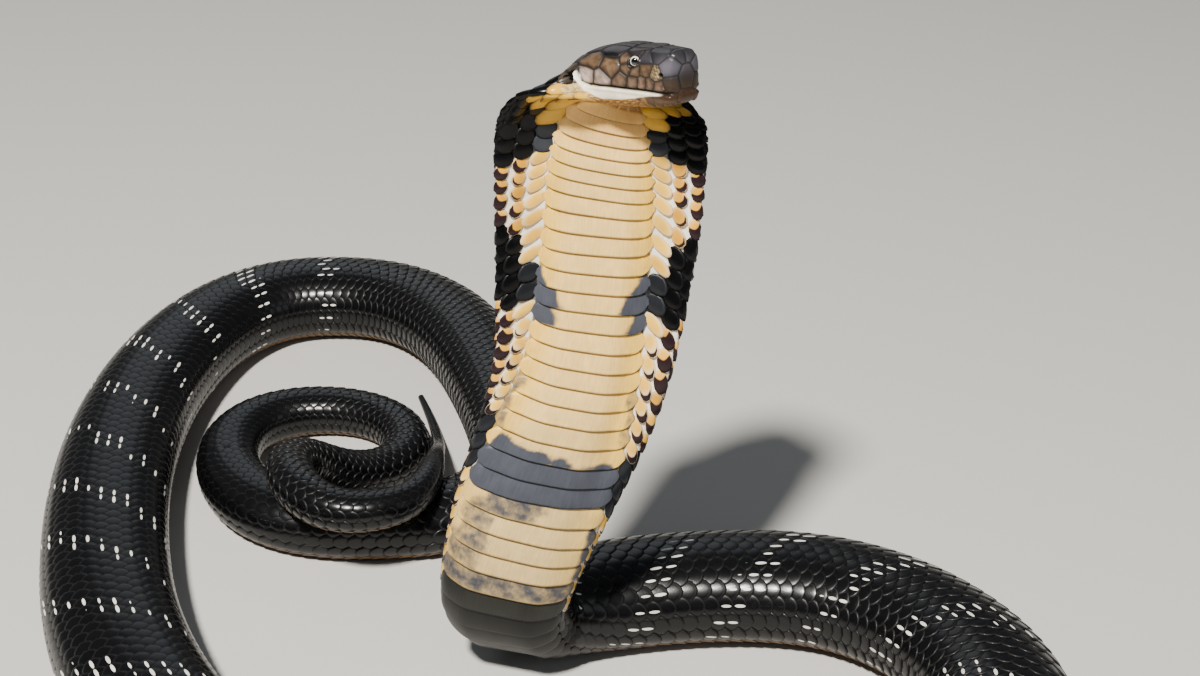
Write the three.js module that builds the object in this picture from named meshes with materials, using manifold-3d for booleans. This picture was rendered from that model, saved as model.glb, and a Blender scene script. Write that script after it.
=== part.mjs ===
// King cobra, reared with its hood spread, life size, as a still model.
// Millimetres, +Z up, the floor at z = 0. The hood's belly side faces -Y.
// The whole animal is one tapering sweep along a smooth centreline, parted into lengths.
import * as THREE from 'three';
import { mergeVertices } from 'three/addons/utils/BufferGeometryUtils.js';
import Module from 'manifold-3d';

// Sizes of the whole animal
const GAP = 0.3;                  // clearance left where one length meets the next
const FLAT_BELLY = 0.9;           // the belly is flat at this share of the half height
const RING_STEP = 14;             // spacing of the section rings along a plain length
const HEAD_STEP = 2.4;            // spacing of the rings along the head
const SCUTE_SHORT = 9.2;          // length of one belly scute just behind the throat
const SCUTE_LONG = 12.1;          // and low on the neck
const THROAT_END = 74;            // where the scutes begin, behind the throat
const SCUTE_RISE = 1.3;           // how far a scute's rear edge stands over the next one
const STEPS_END = 420;            // where these steps have faded, low on the neck
const SAMPLES_PER_SPAN = 24;      // samples of the centreline between two route points
const MIDDLE_X = -48.92;          // the middle of the footprint, in the route's own frame,
const MIDDLE_Y = 74.47;           // which becomes the origin

// The head
const HEAD_END = 60;              // where the head is parted from the neck, behind the jaw
const EYE_AT = 24;                // the eye's distance behind the tip of the snout
const EYE_RADIUS = 2.9;           // the eyeball
const EYE_HEIGHT = 13.1;          // the eye's centre above the line of the mouth
const EYE_SET_IN = 1.45;          // how deep its centre lies under the side of the head
const NOSTRIL_AT = 7.2;           // the nostril's distance behind the tip of the snout
const NOSTRIL_HEIGHT = 8.8;       // its height above the line of the mouth
const MOUTH_END = 52;             // where the line of the mouth ends, behind the jaw joint
const MOUTH_DEPTH = 1.0;          // depth of the groove between the lips
const LIP_SWELL = 0.5;            // how far the lips stand out beside it
const BROW_RISE = 1.1;            // how far the brow stands out over the eye
const NOSTRIL_RADIUS = 1.3;       // radius of the nostril's pit

// The hood
const FLAP_BACK = 3.2;            // the spread skin's depth behind its own middle
const FLAP_FRONT = 3.0;           // and in front of it
const BELLY_SHARE = 0.62;         // how far the belly stands forward, as a share of its depth
const RIM_CURL = 9;               // how far the hood's rim curls forward

// Route of the centreline from the snout to the tip of the tail. Each row is x, y and
// the height of the underside above the floor, so that a length with 0 lies on it.
const ROUTE = [
  [42, -69, 359], [33, -58, 358], [22, -46, 356.5], [12, -36, 355], [4, -29, 348.5],
  [1, -27, 331], [0, -28, 299], [-1, -32, 268], [-4, -37, 236], [-7, -42, 204],
  [-14, -46, 170], [-26, -49, 136], [-39, -51, 102], [-49, -50, 68], [-55, -45, 38],
  [-51, -31, 16], [-38, -16, 5], [-14, -2, 1], [18, 7, 0], [60, 13, 0], [108, 13, 0],
  [152, 2, 0], [196, -32, 0], [230, -97, 0], [209, -178, 0], [149, -224, 0],
  [73, -243, 0], [0, -247, 0], [-75, -237, 0], [-154, -208, 0], [-230, -138, 0],
  [-278, -48, 0], [-303, 34, 0], [-321, 138, 0], [-321, 243, 0], [-298, 340, 0],
  [-253, 394, 0], [-200, 402, 0], [-150, 392, 0], [-106, 348, 0], [-80, 280, 0],
  [-60, 205, 0], [-54, 140, 0], [-86, 99, 0], [-128, 92, 0], [-174, 90, 0],
  [-221, 107, 0], [-254, 162, 0], [-250, 217, 0], [-216, 243, 0], [-174, 244, 0],
  [-141, 226, 0], [-127, 192, 0], [-140, 164, 0], [-168, 145, 8], [-196, 124, 39],
  [-197, 83, 48], [-173, 53, 43], [-142, 49, 42], [-112, 66, 43], [-106, 110, 43],
  [-109, 160, 25], [-110, 207, 2], [-119, 248, 0], [-130, 284, 0],
];

// Half width, half height above and below the widest line, and how much of the hood's
// form a section has, by distance from the snout.
const GIRTH = [
  [0, 0.4, 0.4, 0.3, 0], [1, 6.6, 14, 4.2, 0], [3, 9.2, 19.4, 6.2, 0], [8, 11, 19.6, 8.6, 0],
  [14, 12.6, 19, 10, 0], [22, 14.8, 18.2, 11, 0], [32, 17.6, 17.6, 11.6, 0],
  [42, 20, 17.3, 12.4, 0], [50, 23, 17.4, 13, 0.1], [54, 33, 17.4, 14, 0.35],
  [61, 44, 16.4, 14.4, 0.75], [70, 51, 15.8, 14.6, 0.95], [82, 54, 16, 15, 1],
  [98, 54.5, 17, 16, 1], [128, 53.4, 17.5, 16.5, 1], [158, 51.2, 18, 17, 1],
  [188, 49, 19, 18, 1], [218, 46.8, 20, 19, 0.9], [248, 44.6, 21.5, 20.5, 0.7],
  [278, 43, 22.5, 21.5, 0.5], [308, 41.6, 23.5, 22.5, 0.32], [338, 39.4, 24.5, 23.5, 0.15],
  [368, 37.4, 26, 25, 0.05], [398, 36.8, 27, 26, 0], [470, 36.6, 28.5, 28.5, 0],
  [700, 38.5, 30, 30, 0], [1100, 40, 31, 31, 0], [1600, 38, 29.5, 29.5, 0],
  [1900, 35, 28, 28, 0], [2100, 32, 26.5, 26.5, 0], [2230, 27, 23, 23, 0],
  [2330, 24.5, 21, 21, 0], [2440, 22.5, 19.2, 19.2, 0], [2540, 19.2, 17, 17, 0],
  [2640, 16.6, 15.2, 15.2, 0], [2740, 15.6, 14.6, 14.6, 0], [2840, 14.6, 14, 14, 0],
  [2900, 12.4, 12, 12, 0], [2950, 9.2, 9, 9, 0], [3000, 6.6, 6.5, 6.5, 0],
  [3060, 4.7, 4.6, 4.6, 0], [3120, 3.2, 3.1, 3.1, 0], [3200, 1.2, 1.2, 1.2, 0], [3260, 1, 1, 1, 0],
];

// Which way the back faces, by distance from the snout.
const BACK = [
  [0, 0.04, 0.04, 1], [40, 0.04, 0.04, 1], [54, -0.3, 0.62, 0.72], [66, -0.1, 0.94, 0.3],
  [82, 0, 1, 0], [328, 0.1, 0.99, 0], [383, 0.25, 0.85, 0.45],
  [428, 0.1, 0.3, 0.95], [468, 0, 0, 1], [518, 0, 0, 1], [4000, 0, 0, 1],
];

// Share of the half width that the belly scutes take, narrow under the throat.
const SCUTE_SHARE = [
  [58, 0.36], [73, 0.4], [108, 0.5], [133, 0.53], [173, 0.585], [200, 0.63], [230, 0.71],
  [260, 0.82], [294, 0.9], [338, 0.94], [418, 0.9], [498, 0.86], [4000, 0.86],
];

// Squareness of a section: 1 is an ellipse, less is squarer. The snout is the squarest.
const SQUARENESS = [[0, 0.42], [12, 0.57], [24, 0.65], [40, 0.69], [70, 0.86], [4000, 0.86]];

// Value of a table of rows at distance s, smooth through every row.
function along(table, s) {
  let i = 0;
  while (i < table.length - 2 && table[i + 1][0] <= s) i++;
  const rows = [i - 1, i, i + 1, i + 2].map((k) => table[THREE.MathUtils.clamp(k, 0, table.length - 1)]);
  const span = rows[2][0] - rows[1][0];
  const t = THREE.MathUtils.clamp((s - rows[1][0]) / span, 0, 1);
  return rows[1].slice(1).map((v, c) => {
    const k = c + 1;
    const before = Math.max(rows[2][0] - rows[0][0], 1e-6);
    const after = Math.max(rows[3][0] - rows[1][0], 1e-6);
    const m0 = ((rows[2][k] - rows[0][k]) / before) * span;
    const m1 = ((rows[3][k] - rows[1][k]) / after) * span;
    const t2 = t * t;
    const t3 = t2 * t;
    return (2 * t3 - 3 * t2 + 1) * v + (t3 - 2 * t2 + t) * m0
      + (3 * t2 - 2 * t3) * rows[2][k] + (t3 - t2) * m1;
  });
}

// The centreline: a uniform cubic B-spline over the route, ends held, with its length.
function centreline(route) {
  const p = route.map(([x, y, lift]) => new THREE.Vector3(x - MIDDLE_X, y - MIDDLE_Y, lift));
  const first = p[0].clone().multiplyScalar(2).sub(p[1]);
  const last = p[p.length - 1].clone().multiplyScalar(2).sub(p[p.length - 2]);
  const q = [first, ...p, last];
  const line = [];
  for (let i = 0; i + 3 < q.length; i++) {
    for (let j = 0; j < SAMPLES_PER_SPAN; j++) {
      const t = j / SAMPLES_PER_SPAN;
      const w = [(1 - t) ** 3, 3 * t ** 3 - 6 * t * t + 4, -3 * t ** 3 + 3 * t * t + 3 * t + 1, t ** 3];
      const at = new THREE.Vector3();
      w.forEach((weight, k) => at.addScaledVector(q[i + k], weight / 6));
      line.push(at);
    }
  }
  line.push(p[p.length - 1].clone());
  const lifts = line.map((at) => at.z);
  let length = 0;
  const lengths = line.map((at, i) => {
    length += i ? at.distanceTo(line[i - 1]) : 0;
    return length;
  });
  line.forEach((at, i) => {
    at.z += FLAT_BELLY * along(GIRTH, Math.max(lengths[i], HEAD_END))[2];
  });
  return { line, lengths, lifts, length };
}

const SPINE = centreline(ROUTE);

// Index of the sample before s, and the share of the way to the next one.
function sampleBefore(s) {
  const { lengths } = SPINE;
  let lo = 0;
  let hi = lengths.length - 1;
  while (hi - lo > 1) {
    const mid = (lo + hi) >> 1;
    if (lengths[mid] <= s) lo = mid;
    else hi = mid;
  }
  return [lo, (s - lengths[lo]) / (lengths[hi] - lengths[lo])];
}

function spineAt(s) {
  const [i, share] = sampleBefore(s);
  return SPINE.line[i].clone().lerp(SPINE.line[i + 1], share);
}

function liftAt(s) {
  const [i, share] = sampleBefore(s);
  return THREE.MathUtils.lerp(SPINE.lifts[i], SPINE.lifts[i + 1], share);
}

// Place of a section: its centre, the way to the tail, the back and the animal's left.
// Where the body lies on the floor the section stands upright, so that its belly is flat.
function frameAt(s) {
  const step = 1.5;
  const a = spineAt(Math.max(s - step, 0));
  const b = spineAt(Math.min(s + step, SPINE.length));
  const tailward = b.sub(a);
  tailward.z *= THREE.MathUtils.smoothstep(liftAt(s), 0, 8);
  tailward.normalize();
  const back = new THREE.Vector3(...along(BACK, s));
  back.addScaledVector(tailward, -back.dot(tailward)).normalize();
  const side = new THREE.Vector3().crossVectors(tailward, back);
  return { centre: spineAt(s), tailward, back, side };
}

// Relief of the head at s and an angle from the line of the mouth: the groove between
// the lips, the lips' own swelling, and the brow over the eye. Outward is positive.
function headRelief(s, angle) {
  const fromMouth = THREE.MathUtils.radToDeg(Math.asin(Math.sin(angle)));
  const behind = THREE.MathUtils.smoothstep(s, MOUTH_END - 6, MOUTH_END);
  const lipward = THREE.MathUtils.smoothstep(s, 0.5, 3) * (1 - behind);
  const groove = -MOUTH_DEPTH * Math.exp(-((fromMouth / 2.5) ** 2));
  const lips = LIP_SWELL * Math.exp(-(((Math.abs(fromMouth) - 8) / 5) ** 2));
  const brow = BROW_RISE * Math.exp(-(((fromMouth - 62) / 9) ** 2)) * Math.exp(-(((s - EYE_AT + 1) / 6) ** 2));
  return lipward * (groove + lips) + brow;
}

// One section point in the section's own plane, x to the side and y to the back.
function sectionPoint(s, angle, plate) {
  const [width, up, down, hood] = along(GIRTH, s);
  const c = Math.cos(angle);
  const v = Math.sin(angle);
  const half = v >= 0 ? up : down;
  const [power] = along(SQUARENESS, s);
  const [scuteShare] = along(SCUTE_SHARE, s);
  const plainX = width * Math.sign(c) * Math.abs(c) ** power;
  const plainY = Math.max(half * Math.sign(v) * Math.abs(v) ** power, -FLAT_BELLY * down);
  const across = Math.sign(c) * Math.abs(c) ** 0.9;
  const u = Math.abs(across);
  const rim = Math.sqrt(Math.max(1 - u ** 5, 0));
  const bulge = 1 - THREE.MathUtils.smoothstep(u, 0.22, 0.74);
  const flap = v >= 0 ? FLAP_BACK : -FLAP_FRONT;
  const bodyPart = v >= 0 ? up - FLAP_BACK : FLAP_FRONT - BELLY_SHARE * down;
  const hoodX = width * across;
  const hoodY = (flap + bodyPart * bulge) * rim - RIM_CURL * THREE.MathUtils.smoothstep(u, 0.5, 1) * hood;
  const at = new THREE.Vector2(plainX + (hoodX - plainX) * hood, plainY + (hoodY - plainY) * hood);
  if (s < HEAD_END) at.addScaledVector(new THREE.Vector2(c, v), headRelief(s, angle));
  const rise = plate * SCUTE_RISE * (1 - THREE.MathUtils.smoothstep(s, STEPS_END - 40, STEPS_END));
  if (v < 0 && Math.abs(at.x) < scuteShare * width) at.y -= rise;
  return at;
}

// A closed body from rings of points, each ring the same count, its two ends capped
// with a fan. The rings run tailward and each turns from the side over the back.
function ringsToGeometry(rings) {
  const count = rings[0].length;
  const positions = [];
  const index = [];
  rings.forEach((ring) => ring.forEach((p) => positions.push(p.x, p.y, p.z)));
  for (let i = 0; i + 1 < rings.length; i++) {
    for (let j = 0; j < count; j++) {
      const a = i * count + j;
      const b = i * count + ((j + 1) % count);
      index.push(a, a + count, b, b, a + count, b + count);
    }
  }
  [[0, true], [rings.length - 1, false]].forEach(([i, front]) => {
    const centre = new THREE.Vector3();
    rings[i].forEach((p) => centre.addScaledVector(p, 1 / count));
    const tip = positions.length / 3;
    positions.push(centre.x, centre.y, centre.z);
    for (let j = 0; j < count; j++) {
      const a = i * count + j;
      const b = i * count + ((j + 1) % count);
      if (front) index.push(tip, a, b);
      else index.push(tip, b, a);
    }
  });
  const geometry = new THREE.BufferGeometry();
  geometry.setAttribute('position', new THREE.Float32BufferAttribute(positions, 3));
  geometry.setIndex(index);
  return geometry;
}

// Angles of a section's points: even for a plain length, closer at the mouth on a head.
function evenAngles(sides) {
  return Array.from({ length: sides }, (_, j) => (2 * Math.PI * j) / sides);
}

function headAngles() {
  const quarter = [0, 4, 10, 20, 32, 45, 57, 68, 79];
  const half = [...quarter, ...quarter.slice(1).map((a) => 180 - a).reverse()];
  half.splice(quarter.length, 0, 90);
  return [...half, 180, ...half.slice(1).map((a) => a + 180)].map(THREE.MathUtils.degToRad);
}

function ringAt(s, angles, plate) {
  const { centre, back, side } = frameAt(s);
  return angles.map((angle) => {
    const at = sectionPoint(s, angle, plate);
    const point = centre.clone().addScaledVector(side, at.x).addScaledVector(back, at.y);
    point.z = Math.max(point.z, 0);
    return point;
  });
}

// Distances of the rings of a plain length, and of one that carries stepped scutes.
function plainStops(from, to, step) {
  const n = Math.max(2, Math.round((to - from) / step));
  return Array.from({ length: n + 1 }, (_, i) => [from + ((to - from) * i) / n, 0]);
}

function scuteStops(from, to) {
  const first = Math.max(from, THROAT_END);
  const steps = THREE.MathUtils.smoothstep((first + to) / 2, THROAT_END, 240);
  const n = Math.round((to - first) / THREE.MathUtils.lerp(SCUTE_SHORT, SCUTE_LONG, steps));
  const pitch = (to - first) / n;
  const stops = first > from ? [[from, 0], [first, 0]] : [[from, 0]];
  for (let i = 1; i <= n; i++) {
    stops.push([first + pitch * i - 0.5, 1]);
    if (i < n) stops.push([first + pitch * i + 0.5, 0]);
  }
  stops[stops.length - 1][0] = to;
  return stops;
}

function lengthOfBody(stops, angles) {
  return ringsToGeometry(stops.map(([s, plate]) => ringAt(s, angles, plate)));
}

// A point on or under the skin of the head: hand is 1 for the left side, -1 for the right.
function headPoint(s, height, sunk, hand) {
  const { centre, back, side } = frameAt(s);
  const [width, up] = along(GIRTH, s);
  const [power] = along(SQUARENESS, s);
  const v = (height / up) ** (1 / power);
  const x = width * Math.sqrt(1 - v * v) ** power - sunk;
  return centre.clone().addScaledVector(back, height).addScaledVector(side, hand * x);
}

function ball(centre, radius, rounds) {
  const geometry = new THREE.SphereGeometry(radius, rounds * 2, rounds);
  return geometry.translate(centre.x, centre.y, centre.z);
}

// Joining and cutting of closed geometries.
const wasm = await Module();
wasm.setup();

function toSolid(geometry) {
  const bare = new THREE.BufferGeometry();
  bare.setAttribute('position', geometry.attributes.position.clone());
  if (geometry.index) bare.setIndex(geometry.index.clone());
  const merged = mergeVertices(bare, 1e-4);
  const vertProperties = new Float32Array(merged.attributes.position.array);
  const triVerts = new Uint32Array(merged.index.array);
  return new wasm.Manifold(new wasm.Mesh({ numProp: 3, vertProperties, triVerts }));
}

function toGeometry(solid) {
  const mesh = solid.getMesh();
  const geometry = new THREE.BufferGeometry();
  geometry.setAttribute('position', new THREE.BufferAttribute(mesh.vertProperties, 3));
  geometry.setIndex(new THREE.BufferAttribute(mesh.triVerts, 1));
  return geometry;
}

// The materials: black back, cream belly, brown head and dark eye.
const BLACK = 0x15161a;
const CREAM = 0xd9b878;
const BROWN = 0x4a4039;
const EYE_BLACK = 0x0b0a0a;

const group = new THREE.Group();

function add(name, geometry, colour, roughness) {
  const material = new THREE.MeshStandardMaterial({ color: colour, roughness, metalness: 0 });
  const mesh = new THREE.Mesh(geometry, material);
  mesh.name = name;
  group.add(mesh);
}

// The head, with a socket for each eye and a pit for each nostril, and the two eyes.
let head = toSolid(lengthOfBody(plainStops(0, HEAD_END - GAP / 2, HEAD_STEP), headAngles()));
[['left', 1], ['right', -1]].forEach(([name, hand]) => {
  const eye = headPoint(EYE_AT, EYE_HEIGHT, EYE_SET_IN, hand);
  const nostril = headPoint(NOSTRIL_AT, NOSTRIL_HEIGHT, 0, hand);
  head = head.subtract(toSolid(ball(eye, EYE_RADIUS + GAP, 9)));
  head = head.subtract(toSolid(ball(nostril, NOSTRIL_RADIUS, 5)));
  add(`eye_${name}`, ball(eye, EYE_RADIUS, 8), EYE_BLACK, 0.08);
});
add('head', toGeometry(head), BROWN, 0.35);

// The reared lengths, with their scutes, then the lengths that lie on the floor.
const REARED = [['hood_upper', HEAD_END, 190], ['hood_lower', 190, 320], ['neck_base', 320, 420]];
REARED.forEach(([name, from, to]) => {
  const stops = scuteStops(from + GAP / 2, to - GAP / 2);
  add(name, lengthOfBody(stops, evenAngles(32)), CREAM, 0.5);
});
const VENT = 2260;
const LYING = [['body', 420, VENT, 12], ['tail', VENT, SPINE.length, 9]];
LYING.forEach(([name, from, to, count]) => {
  for (let i = 0; i < count; i++) {
    const a = from + ((to - from) * i) / count + GAP / 2;
    const b = from + ((to - from) * (i + 1)) / count - GAP / 2;
    add(`${name}_${i + 1}`, lengthOfBody(plainStops(a, b, RING_STEP), evenAngles(22)), BLACK, 0.3);
  }
});

export default group;
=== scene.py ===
"""King cobra, reared with its hood spread, life size: the hide, its scales and scutes,
the head's shields and the eyes, worked out as surfaces along one body line."""
import math
import bpy
import numpy as np
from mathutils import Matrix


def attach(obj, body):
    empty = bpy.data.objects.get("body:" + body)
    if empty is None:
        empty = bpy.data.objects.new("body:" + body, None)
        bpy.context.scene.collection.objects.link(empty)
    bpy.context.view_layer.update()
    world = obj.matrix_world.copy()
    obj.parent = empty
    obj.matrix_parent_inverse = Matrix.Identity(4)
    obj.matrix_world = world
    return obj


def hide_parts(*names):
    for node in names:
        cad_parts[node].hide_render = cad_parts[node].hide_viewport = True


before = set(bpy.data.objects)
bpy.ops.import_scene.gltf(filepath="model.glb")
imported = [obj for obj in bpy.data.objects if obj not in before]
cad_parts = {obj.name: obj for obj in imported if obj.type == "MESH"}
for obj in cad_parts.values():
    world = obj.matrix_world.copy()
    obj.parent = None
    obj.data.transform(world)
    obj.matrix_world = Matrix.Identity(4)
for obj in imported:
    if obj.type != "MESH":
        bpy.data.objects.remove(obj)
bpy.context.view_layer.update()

RANDOM = np.random.default_rng(17)

# The animal's measures: millimetres; a distance s runs along the body from the snout
MM = 0.001
MIDDLE = np.array([-48.92, 74.47])   # the route's own middle, which is the frame's origin
HEAD_END, NECK_END, VENT = 60, 420, 2260
PAIRED_FROM, TAIL_END = 2380, 3148   # where the scutes part in two, and the last scales
FLAT_BELLY = 0.9                     # the belly is flat at this share of the half height
FLAP_BACK, FLAP_FRONT = 3.2, 3.0     # the spread skin's depth behind and before its middle
BELLY_SHARE = 0.62                   # how far the belly stands forward on the hood
RIM_CURL = 9.0                       # how far the hood's rim curls forward
RIM_POWER, HOOD_POWER = 5, 0.9       # how blunt the hood's rim is, and how it spreads
HOOD_BULGE = (0.22, 0.74)            # across the hood, where the body's bulge falls away
ROUTE = [
    (42, -69, 359), (33, -58, 358), (22, -46, 356.5), (12, -36, 355), (4, -29, 348.5),
    (1, -27, 331), (0, -28, 299), (-1, -32, 268), (-4, -37, 236), (-7, -42, 204),
    (-14, -46, 170), (-26, -49, 136), (-39, -51, 102), (-49, -50, 68), (-55, -45, 38),
    (-51, -31, 16), (-38, -16, 5), (-14, -2, 1), (18, 7, 0), (60, 13, 0), (108, 13, 0),
    (152, 2, 0), (196, -32, 0), (230, -97, 0), (209, -178, 0), (149, -224, 0),
    (73, -243, 0), (0, -247, 0), (-75, -237, 0), (-154, -208, 0), (-230, -138, 0),
    (-278, -48, 0), (-303, 34, 0), (-321, 138, 0), (-321, 243, 0), (-298, 340, 0),
    (-253, 394, 0), (-200, 402, 0), (-150, 392, 0), (-106, 348, 0), (-80, 280, 0),
    (-60, 205, 0), (-54, 140, 0), (-86, 99, 0), (-128, 92, 0), (-174, 90, 0),
    (-221, 107, 0), (-254, 162, 0), (-250, 217, 0), (-216, 243, 0), (-174, 244, 0),
    (-141, 226, 0), (-127, 192, 0), (-140, 164, 0), (-168, 145, 8), (-196, 124, 39),
    (-197, 83, 48), (-173, 53, 43), (-142, 49, 42), (-112, 66, 43), (-106, 110, 43),
    (-109, 160, 25), (-110, 207, 2), (-119, 248, 0), (-130, 284, 0)]
# s, half width, half height above and below the widest line, share of the hood's form
GIRTH = [
    (0, 0.4, 0.4, 0.3, 0), (1, 6.6, 14, 4.2, 0), (3, 9.2, 19.4, 6.2, 0), (8, 11, 19.6, 8.6, 0),
    (14, 12.6, 19, 10, 0), (22, 14.8, 18.2, 11, 0), (32, 17.6, 17.6, 11.6, 0),
    (42, 20, 17.3, 12.4, 0), (50, 23, 17.4, 13, 0.1), (54, 33, 17.4, 14, 0.35),
    (61, 44, 16.4, 14.4, 0.75), (70, 51, 15.8, 14.6, 0.95), (82, 54, 16, 15, 1),
    (98, 54.5, 17, 16, 1), (128, 53.4, 17.5, 16.5, 1), (158, 51.2, 18, 17, 1),
    (188, 49, 19, 18, 1), (218, 46.8, 20, 19, 0.9), (248, 44.6, 21.5, 20.5, 0.7),
    (278, 43, 22.5, 21.5, 0.5), (308, 41.6, 23.5, 22.5, 0.32), (338, 39.4, 24.5, 23.5, 0.15),
    (368, 37.4, 26, 25, 0.05), (398, 36.8, 27, 26, 0), (470, 36.6, 28.5, 28.5, 0),
    (700, 38.5, 30, 30, 0), (1100, 40, 31, 31, 0), (1600, 38, 29.5, 29.5, 0),
    (1900, 35, 28, 28, 0), (2100, 32, 26.5, 26.5, 0), (2230, 27, 23, 23, 0),
    (2330, 24.5, 21, 21, 0), (2440, 22.5, 19.2, 19.2, 0), (2540, 19.2, 17, 17, 0),
    (2640, 16.6, 15.2, 15.2, 0), (2740, 15.6, 14.6, 14.6, 0), (2840, 14.6, 14, 14, 0),
    (2900, 12.4, 12, 12, 0), (2950, 9.2, 9, 9, 0), (3000, 6.6, 6.5, 6.5, 0),
    (3060, 4.7, 4.6, 4.6, 0), (3120, 3.2, 3.1, 3.1, 0), (3200, 1.2, 1.2, 1.2, 0),
    (3260, 1, 1, 1, 0)]
# s and the way the back faces
BACK = [
    (0, 0.04, 0.04, 1), (40, 0.04, 0.04, 1), (54, -0.3, 0.62, 0.72), (66, -0.1, 0.94, 0.3),
    (82, 0, 1, 0), (328, 0.1, 0.99, 0), (383, 0.25, 0.85, 0.45), (428, 0.1, 0.3, 0.95),
    (468, 0, 0, 1), (518, 0, 0, 1), (4000, 0, 0, 1)]
# s and the share of the half width that the belly scutes take
SCUTE_SHARE = [
    (58, 0.36), (73, 0.40), (108, 0.50), (133, 0.53), (173, 0.585), (200, 0.63), (230, 0.71),
    (260, 0.82), (294, 0.90), (338, 0.94), (418, 0.90), (498, 0.86), (4000, 0.86)]
# s and the squareness of the section: 1 is an ellipse, less is squarer
SQUARENESS = [(0, 0.42), (12, 0.57), (24, 0.65), (40, 0.69), (70, 0.86), (4000, 0.86)]


def smooth(x, low, high):
    """Rise from 0 at low to 1 at high: t squared times three less two t."""
    t = np.clip((np.asarray(x, float) - low) / (high - low), 0, 1)
    return t * t * (3 - 2 * t)


def window(x, low, high, soft):
    """1 between low and high, falling to 0 over soft on both sides."""
    return smooth(x, low - soft, low + soft) * (1 - smooth(x, high - soft, high + soft))


def hump(x, middle, width):
    """1 at the middle, falling off as the exponential of the squared distance."""
    return np.exp(-((x - middle) / width) ** 2)


def mix(a, b, t):
    """From a to b by the share t of the way between them."""
    return a + (b - a) * t


def over(under, colour, share):
    """A colour laid over another by a share for each point."""
    return mix(under, np.asarray(colour), np.asarray(share)[..., None])


def unit(v):
    """Each vector divided by its own length."""
    return v / np.linalg.norm(v, axis=-1, keepdims=True)


def summed(steps):
    """0 and the running sum of the steps."""
    return np.concatenate([[0], np.cumsum(steps)])


def straight(table, s, column=1):
    """Straight lines through a column of a table."""
    rows = np.array(table, float)
    return np.interp(s, rows[:, 0], rows[:, column])


def through(table, s):
    """Cubic through a table's rows, each slope taken from the rows on its two sides."""
    rows = np.array(table, float)
    s = np.asarray(s, float)
    i = np.clip(np.searchsorted(rows[:, 0], s, side="right") - 1, 0, len(rows) - 2)
    before, after = np.maximum(i - 1, 0), np.minimum(i + 2, len(rows) - 1)
    span = (rows[i + 1, 0] - rows[i, 0])[..., None]
    t = np.clip((s - rows[i, 0])[..., None] / span, 0, 1)

    def slope(a, b):
        """Rise from row a to row b for one whole span."""
        return (rows[b, 1:] - rows[a, 1:]) / (rows[b, 0] - rows[a, 0])[..., None] * span

    t2, t3 = t * t, t * t * t
    return ((2 * t3 - 3 * t2 + 1) * rows[i, 1:] + (t3 - 2 * t2 + t) * slope(before, i + 1)
            + (3 * t2 - 2 * t3) * rows[i + 1, 1:] + (t3 - t2) * slope(i, after))


LINE_STEP = 0.5                      # spacing of the samples kept along the centreline
TAIL_REACH = 1.5                     # how far to each side its direction is taken


def body_line():
    """Uniform cubic B-spline over the route, raised by the belly's half height, with a
    frame at each half millimetre: across to the left, to the back, and to the tail."""
    p = np.array(ROUTE, float)
    p[:, :2] -= MIDDLE
    q = np.vstack([2 * p[0] - p[1], p, 2 * p[-1] - p[-2]])
    t = np.linspace(0, 1, 96, endpoint=False)[:, None, None]
    w = [(1 - t) ** 3, 3 * t ** 3 - 6 * t * t + 4, -3 * t ** 3 + 3 * t * t + 3 * t + 1, t ** 3]
    spans = sum(w[k] * q[None, k:len(q) - 3 + k] for k in range(4)) / 6
    line = np.vstack([spans.transpose(1, 0, 2).reshape(-1, 3), p[-1:]])
    length = summed(np.linalg.norm(np.diff(line, axis=0), axis=1))
    underside = line[:, 2].copy()
    line[:, 2] += FLAT_BELLY * through(GIRTH, np.maximum(length, HEAD_END))[:, 2]
    s = np.arange(0, length[-1], LINE_STEP)

    def at(where):
        """Places at given lengths, on straight lines between the samples."""
        return np.stack([np.interp(where, length, line[:, k]) for k in range(3)], 1)

    tail = at(np.minimum(s + TAIL_REACH, length[-1])) - at(np.maximum(s - TAIL_REACH, 0))
    tail[:, 2] *= smooth(np.interp(s, length, underside), 0, 8)
    tail = unit(tail)
    back = through(BACK, s)
    back = unit(back - tail * np.sum(back * tail, 1, keepdims=True))
    side = np.cross(tail, back)
    return length[-1], np.hstack([at(s), side, back, tail, through(GIRTH, s)])


LENGTH, LINE = body_line()


def on_line(s):
    """Centre, side, back, tailward and girth at s, between the kept samples."""
    f = np.clip(np.asarray(s, float) / LINE_STEP, 0, len(LINE) - 1.001)
    i = f.astype(int)
    w = (f - i)[..., None]
    row = LINE[i] * (1 - w) + LINE[i + 1] * w
    return row[..., 0:3], row[..., 3:6], row[..., 6:9], row[..., 9:12], row[..., 12:16]


def signed_power(x, power):
    """The power of the size of x, with the sign of x."""
    return np.sign(x) * np.abs(x) ** power


def section(s, angle):
    """Section point, x to the left and y to the back: a superellipse of the half width
    and half heights with a flat belly, mixed with the hood's form, which is a thin fold
    with the body's bulge in its middle and its rim curled to the front."""
    width, up, down, hood = np.moveaxis(on_line(s)[4], -1, 0)
    c, v = np.cos(angle), np.sin(angle)
    power = through(SQUARENESS, s)[..., 0]
    plain_x = width * signed_power(c, power)
    plain_y = np.maximum(np.where(v >= 0, up, down) * signed_power(v, power), -FLAT_BELLY * down)
    across = signed_power(c, HOOD_POWER)
    u = np.abs(across)
    rim = np.sqrt(np.maximum(1 - u ** RIM_POWER, 0))
    flap = np.where(v >= 0, FLAP_BACK, -FLAP_FRONT)
    body = np.where(v >= 0, up - FLAP_BACK, FLAP_FRONT - BELLY_SHARE * down)
    hood_y = (flap + body * (1 - smooth(u, *HOOD_BULGE))) * rim
    hood_y = hood_y - RIM_CURL * smooth(u, 0.5, 1) * hood
    return mix(plain_x, width * across, hood), mix(plain_y, hood_y, hood)


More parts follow.
